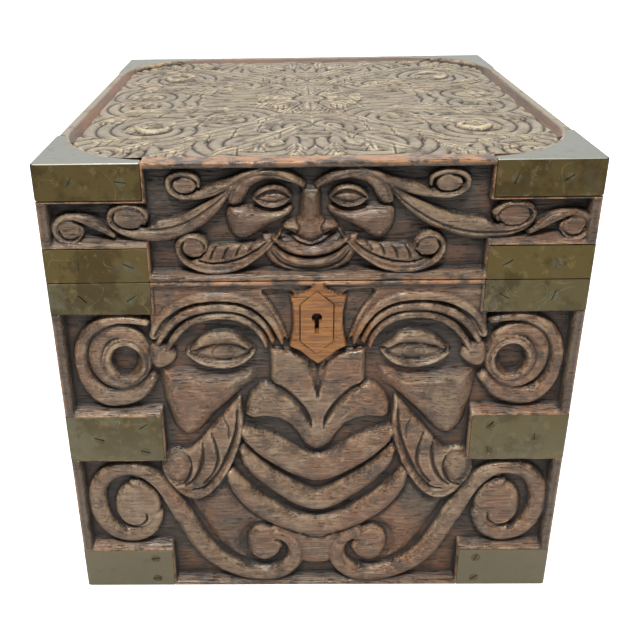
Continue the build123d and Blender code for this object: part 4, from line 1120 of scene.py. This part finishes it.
def cut_out(item, cutters):
    """Takes each cutter out of a piece."""
    tools = [made("cutter", cutter) for cutter in cutters]
    for tool in tools:
        change = item.modifiers.new("cut", "BOOLEAN")
        change.operation = "DIFFERENCE"
        change.solver = "EXACT"
        change.object = tool
    settled(item)
    for tool in tools:
        bpy.data.objects.remove(tool)
    return item


def settled(item):
    """Applies a piece's modifiers."""
    bpy.context.view_layer.update()
    ready = item.evaluated_get(bpy.context.evaluated_depsgraph_get())
    mesh = bpy.data.meshes.new_from_object(ready)
    item.modifiers.clear()
    old = item.data
    item.data = mesh
    bpy.data.meshes.remove(old)
    return item


def eased(item, width, segments=2, angle=30.0):
    """Rounds the sharp edges of a piece."""
    change = item.modifiers.new("ease", "BEVEL")
    change.width = width
    change.segments = segments
    change.limit_method = "ANGLE"
    change.angle_limit = math.radians(angle)
    change.harden_normals = False
    change.use_clamp_overlap = True
    settled(item)
    item.data.polygons.foreach_set("use_smooth", np.zeros(len(item.data.polygons), bool))
    return item


def separate_solids(node):
    """Points of each separate solid of a CAD node, in millimetres."""
    copy = bmesh.new()
    copy.from_mesh(frame["nodes"][node].data)
    bmesh.ops.remove_doubles(copy, verts=copy.verts, dist=1e-6)
    left = set(copy.verts)
    solids = []
    for start in copy.verts:
        if start not in left:
            continue
        left.discard(start)
        group = [start]
        for here in group:
            linked = [edge.other_vert(here) for edge in here.link_edges]
            fresh = [other for other in linked if other in left]
            left.difference_update(fresh)
            group.extend(fresh)
        solids.append(np.array([vertex.co for vertex in group]) / MM)
    copy.free()
    return solids


def screw_points(node, near=0.05):
    """Middle of each screw head of a group node and the direction it is driven in, in millimetres."""
    found = []
    for points in separate_solids(node):
        low, high = points.min(0), points.max(0)
        axis = int(np.argmax(high - low))

        def ring(end):
            return points[np.abs(points[:, axis] - end) < near]

        ends = sorted((low[axis], high[axis]), key=lambda end: np.ptp(ring(end), axis=0).max())
        centre = ring(ends[0]).mean(0)
        centre[axis] = ends[1]
        direction = np.zeros(3)
        direction[axis] = 1 if ends[0] > ends[1] else -1
        found.append((Vector(centre), Vector(direction)))
    return found


def screw_head(radius, deep=1.4, slot=0.3, slot_deep=0.55, ease=0.07, shank_start=1.2, length=7.0, tip=0.4):
    """Countersunk screw with a slot, its flat head on the ground plane and its shank up."""
    up = (0, 0, 1)
    head = made("screw head", rod((0, 0, 0), up, radius, deep, radius * 0.55, sides=28))
    cut_out(head, [block((-radius * 1.2, -slot, -slot), (radius * 1.2, slot, slot_deep))])
    eased(head, ease * MM, 2, 40)
    solid = bmesh.new()
    solid.from_mesh(head.data)
    bpy.data.objects.remove(head)
    shank = rod((0, 0, shank_start), up, radius * 0.52, length, tip, sides=16)
    mesh = bpy.data.meshes.new("shank")
    shank.to_mesh(mesh)
    shank.free()
    solid.from_mesh(mesh)
    bpy.data.meshes.remove(mesh)
    return solid


def screws(name, node, radius, material, seed, sunk=0.08):
    """All screws of a group, each turned as it was left when driven home."""
    pattern = screw_head(radius)
    mesh = bpy.data.meshes.new("screw")
    pattern.to_mesh(mesh)
    pattern.free()
    chance = np.random.default_rng(seed)
    whole = bmesh.new()
    for point, direction in screw_points(node):
        before = set(whole.verts)
        whole.from_mesh(mesh)
        fresh = [v for v in whole.verts if v not in before]
        spin = Matrix.Rotation(chance.uniform(0, math.pi), 4, "Z")
        turn = direction.to_track_quat("Z", "Y").to_matrix().to_4x4()
        place = Matrix.Translation((point + direction * sunk) * MM)
        bmesh.ops.transform(whole, matrix=place @ turn @ spin, verts=fresh)
    bpy.data.meshes.remove(mesh)
    return dressed(made(name, whole), material, node)


def brass_blank(name, node, edge):
    """Block as large as a CAD node, its upright outside corner rounded and its edges eased, with its box."""
    low, high = [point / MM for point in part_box(node)]
    solid = block(low, high)
    out_x = low.x if abs(low.x) > abs(high.x) else high.x
    out_y = low.y if abs(low.y) > abs(high.y) else high.y
    upright = [e for e in solid.edges
               if all(abs(v.co.x / MM - out_x) < 0.01 and abs(v.co.y / MM - out_y) < 0.01 for v in e.verts)]
    bmesh.ops.bevel(solid, geom=upright, offset=CORNER_ROUND * MM, offset_type="OFFSET", affect="EDGES",
                    segments=6, profile=0.5, material=-1)
    sharp = [e for e in solid.edges if e.calc_face_angle(0) > math.radians(40)]
    bmesh.ops.bevel(solid, geom=sharp, offset=edge, offset_type="OFFSET", affect="EDGES", segments=3,
                    profile=0.5, material=-1)
    return made(name, solid), low, high


def screw_seats(holes, low, high, near=3, proud=0.5, radius=2.95, deep=1.5, narrow=2.0):
    """Countersinks for the screws that lie within a box."""
    return [rod(point - direction * proud, direction, radius, deep, narrow) for point, direction in holes
            if all(a - near < c < b + near for a, c, b in zip(low, point, high))]


def inside_of_box(high):
    """Block as wide and deep as the wood that the brass wraps, up to a height."""
    half_x = HALF_WIDTH - LET_IN
    half_y = -FRONT - LET_IN
    return block((-half_x, -half_y, -10), (half_x, half_y, high))


def strap(name, node, material, holes, edge):
    """Strap bent round an upright corner, with countersunk holes for its screws."""
    item, low, high = brass_blank(name, node, edge)
    cutters = [inside_of_box(2 * TOP)] + screw_seats(holes, low, high)
    if low.y > 0:
        cutters.append(hinge_groove())
    cut_out(item, cutters)
    return dressed(item, material, node)


def hinge_groove(depth=6.0, slope=50.0):
    """Wedge along the back of the seam."""
    solid = block((-HALF_WIDTH - 5, HINGE_Y, SEAM - 1), (HALF_WIDTH + 5, HINGE_Y + depth, SEAM + 1))
    rise = depth * math.tan(math.radians(slope))
    for vertex in solid.verts:
        upper = vertex.co.z > SEAM * MM
        deep = vertex.co.y < (HINGE_Y + depth / 2) * MM
        vertex.co.z = (SEAM + (0.001 if deep else rise) * (1 if upper else -1)) * MM
    return solid


def corner_plate(name, node, material, holes, edge, lip=3.8, radius=56.2):
    """Corner plate of the lid, its inner edge hollowed along the sunk field."""
    item, low, high = brass_blank(name, node, 4 * edge)
    cutters = [inside_of_box(TOP - LET_IN),
               rounded_prism(HALF_WIDTH - lip, -FRONT - lip, radius, TOP - 5, TOP + 5)]
    cut_out(item, cutters + screw_seats(holes, low, high))
    return dressed(item, material, node)


# Finishes

def oak_grain(finish, along):
    """Fibres, cloudy stain and pores along one axis, each from 0 to 1."""
    def scaled(length, width):
        return [length if key == along else width for key in "XYZ"]

    fibres = finish.noise(1.0, 4.0, 0.62, finish.stretched(scaled(45, 850)), 0.6)
    cloud = finish.noise(1.0, 3.0, 0.55, finish.stretched(scaled(9, 34)))
    pores = finish.noise(1.0, 2.0, 0.5, finish.stretched(scaled(150, 1500))).between(0.60, 0.72)
    return fibres, cloud, pores


def carved_oak(name, dust, stained, rough):
    """Dark stained oak, painted darker low and in hollows as shade, brown and grey with painted sheen on
    raised forms, rubbed orange at edges.
    """
    wood = bpy.context.scene.wood_settings
    finish = Finish(name)
    fibres, cloud, pores = oak_grain(finish, "X")
    wear, cavity, socket, crease, height, bare, edge, rim = [finish.attribute(layer) for layer in LAYERS]
    rub = finish.noise(85.0, 6.0, 0.70)
    patch = finish.noise(20.0, 4.0, 0.62)
    fleck = finish.noise(260.0, 3.0, 0.65)
    # Painted shade: the stain runs from Dark Oak low down and in the hollows to Brown Oak on the raised
    # forms.
    stain = finish.mix((height * 0.95 + cloud * 0.7 - cavity * 0.3).between(0.35, 1.25), wood.dark, wood.mid)
    stain = finish.mix((patch.between(0.43, 0.56) * rub.between(0.34, 0.54)).at_most(1.0), stain, wood.red)
    # Pale fibres, rubbed patches and specks grow with height: oak grain and wear, with painted sheen on the
    # raised forms.
    stain = finish.mix((fibres.between(0.50, 0.64) * (height * 0.35 + 0.15)).at_most(1.0), stain, wood.pale)
    stain = finish.mix((fibres.between(0.49, 0.36) * 0.5).at_most(1.0), stain, wood.dark)
    stain = finish.mix((rub.between(0.53, 0.64) * (height * 0.4)).at_most(1.0), stain, wood.pale)
    stain = finish.mix((rub.between(0.50, 0.36) * 0.7).at_most(1.0), stain, wood.dark)
    stain = finish.mix((wear * rub.between(0.44, 0.58) * 0.9).at_most(1.0), stain, wood.pale)
    spots = (wear * patch.between(0.54, 0.64) + cavity * patch.between(0.60, 0.72) * 0.3).at_most(1.0)
    stain = finish.mix((spots * fleck.between(0.48, 0.60) * 0.7).at_most(1.0), stain, wood.orange)
    specks = fleck.between(0.61, 0.67) * height * 0.5
    stain = finish.mix(specks, stain, wood.pale)
    stain = finish.mix((rim * 0.8).at_least(stained), stain, wood.dark)
    dusty = height.between(0.0005, 0.002) * dust
    dusted = dusty * rub.between(0.28, 0.50) * (1.0 - crease * 0.7)
    stain = finish.mix(dusted.at_most(1.0), stain, wood.dust)
    # Painted highlight on the top's ridges, mixed with their bleached, dry wood.
    stain = finish.mix((dusty * wear * rub.between(0.38, 0.60)).at_most(1.0), stain, wood.dry)
    stain = finish.mix((edge * rub.between(0.42, 0.54)).at_most(1.0), stain, wood.orange)
    shield = finish.mix(fibres.between(0.40, 0.62), wood.inlay_dark, wood.inlay)
    # Painted shade: the shield darkens in the hollows round it, and along its edges.
    shield = finish.mix((cavity * 0.8 + edge * rub.between(0.5, 0.6) * 0.5).at_most(1.0), shield, wood.dark)
    tone = finish.mix(bare, stain, shield)
    tone = finish.mix(pores * 0.6, tone, wood.dirt)
    # Painted shade with old dirt: darker in the hollows, the creases and the sockets of the carving.
    tone = finish.mix((cavity * 0.45 + crease * 0.75 + socket * 0.45).at_most(0.95), tone, wood.dirt)
    grain = fibres * 0.6 + rub * 0.6 - pores * 0.6
    return finish.finished(Base_Color=tone, Roughness=rough + cavity * 0.25 + rub * 0.12 - wear * 0.10,
                           Normal=finish.bump(grain, 0.0012, 1.0), Coat_Weight=0.05 * (1.0 - cavity))


def plain_oak(name, along, dark, mid, pale, edge_wear=0.55):
    """Stained oak board, rubbed bare along the corners and the seam of the box."""
    wood = bpy.context.scene.wood_settings
    finish = Finish(name)
    fibres, cloud, pores = oak_grain(finish, along)
    rub = finish.noise(70.0, 5.0, 0.65)
    slanted = finish.stretched((60, 60, 700), (0.5, 0.3, 0.2))
    scratch = finish.noise(1.0, 2.0, 0.4, slanted).between(0.66, 0.74)
    x, y, z = finish.coordinates()
    x = x.math("ABSOLUTE")
    y = y.math("ABSOLUTE")

    def near(value, edge, start, end=0.0):
        return value.between(edge - start * MM, edge - end * MM)

    at_side = near(x, BOX_HIGH[0], 2.0)
    at_end = near(y, BOX_HIGH[1], 2.0)
    at_top = near(z, BOX_HIGH[2], 2.5)
    outer = near(x, BOX_HIGH[0], 3.0, 0.5).at_least(near(y, BOX_HIGH[1], 3.0, 0.5))
    at_seam = (z - SEAM * MM).math("ABSOLUTE").between(2.0 * MM, 0.6 * MM) * outer
    at_foot = z.between(3.0 * MM, 0.0)
    rims = (at_side * at_end + at_side * at_top + at_end * at_top + at_seam + at_foot).at_most(1.0)
    tone = finish.mix(cloud.between(0.3, 0.75), dark, mid)
    tone = finish.mix(fibres.between(0.42, 0.70) * 0.7, tone, pale)
    tone = finish.mix(scratch * 0.35, tone, pale)
    tone = finish.mix(near(z, BOX_HIGH[2], 0.9, 0.2) * rub.between(0.30, 0.52), tone, wood.dust)
    tone = finish.mix((rims * rub.between(0.46, 0.60) * edge_wear).at_most(1.0), tone, wood.orange)
    tone = finish.mix(pores * 0.5, tone, wood.dirt)
    return finish.finished(Base_Color=tone, Roughness=0.46 + fibres * 0.18,
                           Normal=finish.bump(fibres * 0.6 + rub * 0.3 - pores * 0.5, 0.0003, 0.5),
                           Coat_Weight=0.12)


def inlay_oak(name):
    """Bare waxed oak of the plug round the keyhole."""
    wood = bpy.context.scene.wood_settings
    finish = Finish(name)
    fibres, cloud, pores = oak_grain(finish, "X")
    tone = finish.mix(fibres.between(0.38, 0.64), wood.inlay_dark, wood.inlay)
    tone = finish.mix(cloud.between(0.5, 0.8) * 0.4, tone, wood.inlay_brown)
    tone = finish.mix(pores * 0.55, tone, wood.inlay_pore)
    return finish.finished(Base_Color=tone, Roughness=0.48 + fibres * 0.1,
                           Normal=finish.bump(fibres * 0.5 - pores, 0.0003, 0.5), Coat_Weight=0.12)


def aged_brass(name, first, second, rough=0.40, scratches=0.5, spots=0.5, painted_top_reflection=0.0, greyed=0.0):
    """Brass under a brown patina, with fine scratches and dark spots, grey in patches, and a painted grey
    reflection on the upper faces of the plates.
    """
    brass = bpy.context.scene.brass_settings
    finish = Finish(name)
    cloud = finish.noise(26.0, 4.0, 0.6)
    patch = finish.noise(48.0, 5.0, 0.68)
    fine = finish.noise(420.0, 3.0, 0.6)
    stain = finish.noise(75.0, 4.0, 0.7).between(0.60, 0.72)
    curl = (finish.noise(38.0, 1.0, 0.5, distortion=1.2) - 0.5).math("ABSOLUTE")
    lines = curl.between(0.0035, 0.0) * finish.noise(55.0, 1.0).between(0.50, 0.60)
    mottle = finish.noise(140.0, 4.0, 0.7)
    height = finish.coordinates()[2]
    # Painted reflection: the plates' upper faces take the grey of the bright sky above them.
    reflecting_tops = height.between(BOX_HIGH[2] - 0.7 * MM, BOX_HIGH[2] - 0.3 * MM) * painted_top_reflection
    foot = height.between(135 * MM, 45 * MM) * greyed
    tone = finish.mix(cloud.between(0.35, 0.65), first, second)
    tone = finish.mix(patch.between(0.46, 0.58) * 0.65, tone, brass.patina)
    tone = finish.mix(mottle.between(0.56, 0.66) * 0.5, tone, brass.mottle)
    tone = finish.mix(cloud.between(0.52, 0.66) * 0.45, tone, brass.grey)
    tone = finish.mix((stain * spots).at_most(1.0), tone, brass.spot)
    tone = finish.mix((lines * scratches).at_most(1.0), tone, brass.bright)
    tone = finish.mix(foot * mottle.between(0.2, 0.5, 0.6, 0.9), tone, brass.low)
    tone = finish.mix((reflecting_tops * mottle.between(0.30, 0.50, 0.75, 1.0)).at_most(1.0), tone, brass.top)
    return finish.finished(Base_Color=tone, Metallic=0.92 - stain * 0.4,
                           Roughness=rough + cloud * 0.16 + stain * 0.2 - lines * 0.05,
                           Normal=finish.bump(fine * 0.5 + cloud - lines * 0.4, 0.0002, 0.35))


def steel(name):
    """Plain steel, dull and lightly pitted."""
    metal = bpy.context.scene.steel_settings
    finish = Finish(name)
    cloud = finish.noise(60.0, 4.0, 0.6)
    pits = finish.noise(500.0, 2.0, 0.6).between(0.6, 0.75)
    tone = finish.mix(cloud, metal.dark, metal.pale)
    tone = finish.mix(pits * 0.5, tone, metal.pits)
    return finish.finished(Base_Color=tone, Metallic=0.95 - pits * 0.3, Roughness=0.38 + cloud * 0.2,
                           Normal=finish.bump(cloud - pits, 0.0001, 0.4))


# Floor, lights and camera

def daylight(tint, strength):
    """Even light from all round, which the camera sees as white."""
    world = bpy.data.worlds.new("studio")
    world.use_nodes = True
    tree = world.node_tree
    light = tree.nodes["Background"]
    light.inputs["Color"].default_value = (*tint, 1.0)
    light.inputs["Strength"].default_value = strength
    white = tree.nodes.new("ShaderNodeBackground")
    white.inputs["Color"].default_value = (1.0, 1.0, 1.0, 1.0)
    rays = tree.nodes.new("ShaderNodeLightPath")
    mix = tree.nodes.new("ShaderNodeMixShader")
    tree.links.new(rays.outputs["Is Camera Ray"], mix.inputs["Fac"])
    tree.links.new(light.outputs["Background"], mix.inputs[1])
    tree.links.new(white.outputs["Background"], mix.inputs[2])
    tree.links.new(mix.outputs["Shader"], tree.nodes["World Output"].inputs["Surface"])
    return world


def pale_floor(pale, palest, size=4.0):
    """Floor that keeps the box's shadow and runs out into white for the camera."""
    solid = bmesh.new()
    bmesh.ops.create_grid(solid, x_segments=1, y_segments=1, size=size)
    floor = made("floor", solid)
    paint = Finish("pale floor")
    rays = paint.node("ShaderNodeLightPath", {}, output="Is Camera Ray")
    away = paint.node("ShaderNodeVectorMath", {"operation": "LENGTH"}, paint.place, output="Value")
    glow = paint.mix(rays * away.between(0.25, 0.8, 0.72, 1.0), (0.0, 0.0, 0.0), (1.0, 1.0, 1.0))
    grain = paint.noise(3.0, 2.0)
    tone = paint.mix(grain * 0.3, pale, palest)
    floor.data.materials.append(paint.finished(Base_Color=tone, Roughness=0.8,
                                               Emission_Color=glow, Emission_Strength=1.0))
    return floor


def soft_light(name, spot, size, power, tint=(1.0, 1.0, 1.0), aim=(0, 0, 0.13)):
    """Lamp with a broad face, turned to the middle of the box."""
    lamp = bpy.data.lights.new(name, "AREA")
    lamp.shape = "RECTANGLE"
    lamp.size, lamp.size_y = size
    lamp.energy = power
    lamp.color = tint
    item = shown(name, lamp)
    item.location = spot
    item.rotation_mode = "QUATERNION"
    item.rotation_quaternion = (Vector(aim) - Vector(spot)).to_track_quat("-Z", "Y")
    return item


def fitted_camera():
    """Camera where the photograph was taken."""
    lens = bpy.data.cameras.new("camera")
    lens.sensor_width = 36.0
    lens.lens = CAMERA_LENS
    lens.shift_x, lens.shift_y = CAMERA_SHIFT
    lens.clip_start = 0.01
    camera = shown("camera", lens)
    turn = Matrix((CAMERA_ACROSS, CAMERA_UPWARD, CAMERA_BEHIND)).transposed().to_4x4()
    camera.matrix_world = Matrix.Translation(CAMERA_PLACE) @ turn
    return camera


# The stage and the pieces, one operator for each kind

class StageOperator(bpy.types.Operator):
    """Put up the floor, the lights and the camera"""
    bl_idname = "carved_box.stage"
    bl_label = "Stage"

    def execute(self, context):
        scene = context.scene
        stage = scene.stage_settings
        scene.view_settings.view_transform = "Standard"
        scene.world = daylight(stage.world, 0.13)
        scene.camera = fitted_camera()
        pieces = (
            scene.camera,
            pale_floor(stage.floor, stage.floor_pale),
            soft_light("light above", (0.05, 0.25, 1.35), (1.2, 0.8), 10.0),
            soft_light("light in front", (-0.12, -0.80, 1.35), (0.40, 0.22), 25.0, (1.0, 0.98, 0.95)),
            soft_light("light from the right", (1.2, -0.7, 0.5), (0.7, 0.9), 1.5),
            soft_light("light behind", (0.0, 1.7, 0.85), (2.8, 1.2), 12.0),
        )
        return {"FINISHED"}


class CarvedFrontOperator(bpy.types.Operator):
    """Carve the large mask into the front of the body"""
    bl_idname = "carved_box.front"
    bl_label = "Carved Front"

    def execute(self, context):
        finish = carved_oak("carved oak of the front", 0.06, 0.12, 0.28)
        cell = context.scene.wood_settings.cell / MM
        front_board("carved_front", "body_front", inlaid_body, BODY_STRAPS, cell, finish, keyhole)
        return {"FINISHED"}


class CarvedLidFrontOperator(bpy.types.Operator):
    """Carve the small mask and its hair into the front of the lid"""
    bl_idname = "carved_box.lid_front"
    bl_label = "Carved Lid Front"

    def execute(self, context):
        finish = carved_oak("carved oak of the lid front", 0.03, 0.42, 0.25)
        cell = context.scene.wood_settings.lid_cell / MM
        front_board("carved_lid_front", "lid_front", lid_carving, LID_STRAPS, cell, finish)
        return {"FINISHED"}


class CarvedTopOperator(bpy.types.Operator):
    """Carve the foliage into the sunk top of the lid"""
    bl_idname = "carved_box.top"
    bl_label = "Carved Top"

    def execute(self, context):
        finish = carved_oak("carved oak of the top", 0.90, 0.0, 0.42)
        carved_top("carved_top", "lid_top_panel", context.scene.wood_settings.top_cell / MM, finish)
        return {"FINISHED"}


class PlainBoardsOperator(bpy.types.Operator):
    """Finish the plain boards, the floor and the keyhole inlay"""
    bl_idname = "carved_box.boards"
    bl_label = "Plain Boards"

    def execute(self, context):
        wood = context.scene.wood_settings
        along_y = plain_oak("side oak", "Y", wood.dark, wood.red, wood.mid)
        along_x = plain_oak("back oak", "X", wood.dark, wood.red, wood.mid)
        oiled = plain_oak("floor oak", "X", wood.floor_dark, wood.floor_mid, wood.floor_pale, 0.2)
        dressed_as_is(along_y, "body_left", "body_right", "lid_left", "lid_right")
        dressed_as_is(along_x, "body_back", "lid_back")
        dressed_as_is(oiled, "body_floor")
        dressed_as_is(inlay_oak("inlay oak"), "keyhole_inlay")
        return {"FINISHED"}


class BrassBindingOperator(bpy.types.Operator):
    """Wrap the brass straps and the corner plates of the lid round the corners"""
    bl_idname = "carved_box.binding"
    bl_label = "Brass Binding"

    def execute(self, context):
        brass = context.scene.brass_settings
        warm = aged_brass("brass of the lid", brass.tone, brass.lid)
        green = aged_brass("brass of the body", brass.grey, brass.tone, 0.44, greyed=1.0)
        # The plates of the top carry a painted sky reflection on their upper faces.
        topped = aged_brass("brass of the top", brass.tone, brass.plate, painted_top_reflection=1.0)
        for family in LID_FAMILIES + BODY_FAMILIES:
            holes = screw_points(f"{family}_screws")
            for corner in CORNERS:
                node = f"{family}_{corner}"
                if family == "lid_top_corner":
                    corner_plate(f"plate_{node}", node, topped, holes, brass.edge)
                else:
                    finish = warm if family in LID_FAMILIES else green
                    strap(f"strap_{node}", node, finish, holes, brass.edge)
        return {"FINISHED"}


class BindingScrewsOperator(bpy.types.Operator):
    """Drive the slotted screws of the binding home"""
    bl_idname = "carved_box.binding_screws"
    bl_label = "Binding Screws"

    def execute(self, context):
        brass = context.scene.brass_settings
        finish = aged_brass("screw brass", brass.tone, brass.grey, 0.42, 0.6, 0.9)
        for number, family in enumerate(LID_FAMILIES + BODY_FAMILIES):
            node = f"{family}_screws"
            screws(f"heads_{node}", node, brass.head / MM, finish, number)
        return {"FINISHED"}


class HingesOperator(bpy.types.Operator):
    """Finish the two butt hinges, their pins and their screws"""
    bl_idname = "carved_box.hinges"
    bl_label = "Hinges"

    def execute(self, context):
        brass = context.scene.brass_settings
        finish = aged_brass("hinge brass", brass.hinge, brass.tone, 0.36, 0.4, 0.3)
        pin = steel("hinge steel")
        for side in ("left", "right"):
            dressed_as_is(finish, f"hinge_body_leaf_{side}", f"hinge_lid_leaf_{side}")
            dressed_as_is(pin, f"hinge_pin_{side}")
        for number, node in enumerate(("hinge_body_screws", "hinge_lid_screws")):
            screws(f"heads_{node}", node, brass.small_head / MM, finish, 10 + number)
        return {"FINISHED"}


class LockOperator(bpy.types.Operator):
    """Finish the box lock, its link plate and their screws"""
    bl_idname = "carved_box.lock"
    bl_label = "Lock"

    def execute(self, context):
        brass = context.scene.brass_settings
        plate = aged_brass("lock brass", brass.lock, brass.lock_dark, 0.34, 0.5, 0.3)
        works = steel("lock steel")
        dressed_as_is(plate, "lock_case", "lock_cap", "link_plate")
        dressed_as_is(works, "lock_bolt", "lock_drill_pin", "lock_spring")
        for number, node in enumerate(("lock_screws", "link_plate_screws")):
            screws(f"heads_{node}", node, brass.small_head / MM, works, 20 + number)
        return {"FINISHED"}


SETTINGS = {"wood_settings": WoodSettings, "brass_settings": BrassSettings, "steel_settings": SteelSettings,
            "stage_settings": StageSettings}
OPERATORS = (StageOperator, CarvedFrontOperator, CarvedLidFrontOperator, CarvedTopOperator,
             PlainBoardsOperator, BrassBindingOperator, BindingScrewsOperator, HingesOperator, LockOperator)


class CarvedBoxPanel(bpy.types.Panel):
    """Sizes, colours and pieces of the carved box"""
    bl_idname = "VIEW3D_PT_carved_box"
    bl_label = "Carved Box"
    bl_space_type = "VIEW_3D"
    bl_region_type = "UI"
    bl_category = "Carved Box"

    def draw(self, context):
        for group in SETTINGS:
            settings = getattr(context.scene, group)
            column = self.layout.column()
            for key in settings.bl_rna.properties.keys():
                if key not in ("rna_type", "name"):
                    column.prop(settings, key)
        for operator in OPERATORS:
            self.layout.operator(operator.bl_idname)


CLASSES = tuple(SETTINGS.values()) + OPERATORS + (CarvedBoxPanel,)


def register():
    for item in CLASSES:
        bpy.utils.register_class(item)
    for group, kind in SETTINGS.items():
        setattr(bpy.types.Scene, group, PointerProperty(type=kind))


def unregister():
    for group in SETTINGS:
        delattr(bpy.types.Scene, group)
    for item in reversed(CLASSES):
        bpy.utils.unregister_class(item)


def main():
    register()
    bpy.ops.carved_box.stage()
    bpy.ops.carved_box.front()
    bpy.ops.carved_box.lid_front()
    bpy.ops.carved_box.top()
    bpy.ops.carved_box.boards()
    bpy.ops.carved_box.binding()
    bpy.ops.carved_box.binding_screws()
    bpy.ops.carved_box.hinges()
    bpy.ops.carved_box.lock()


if __name__ == "__main__":
    main()
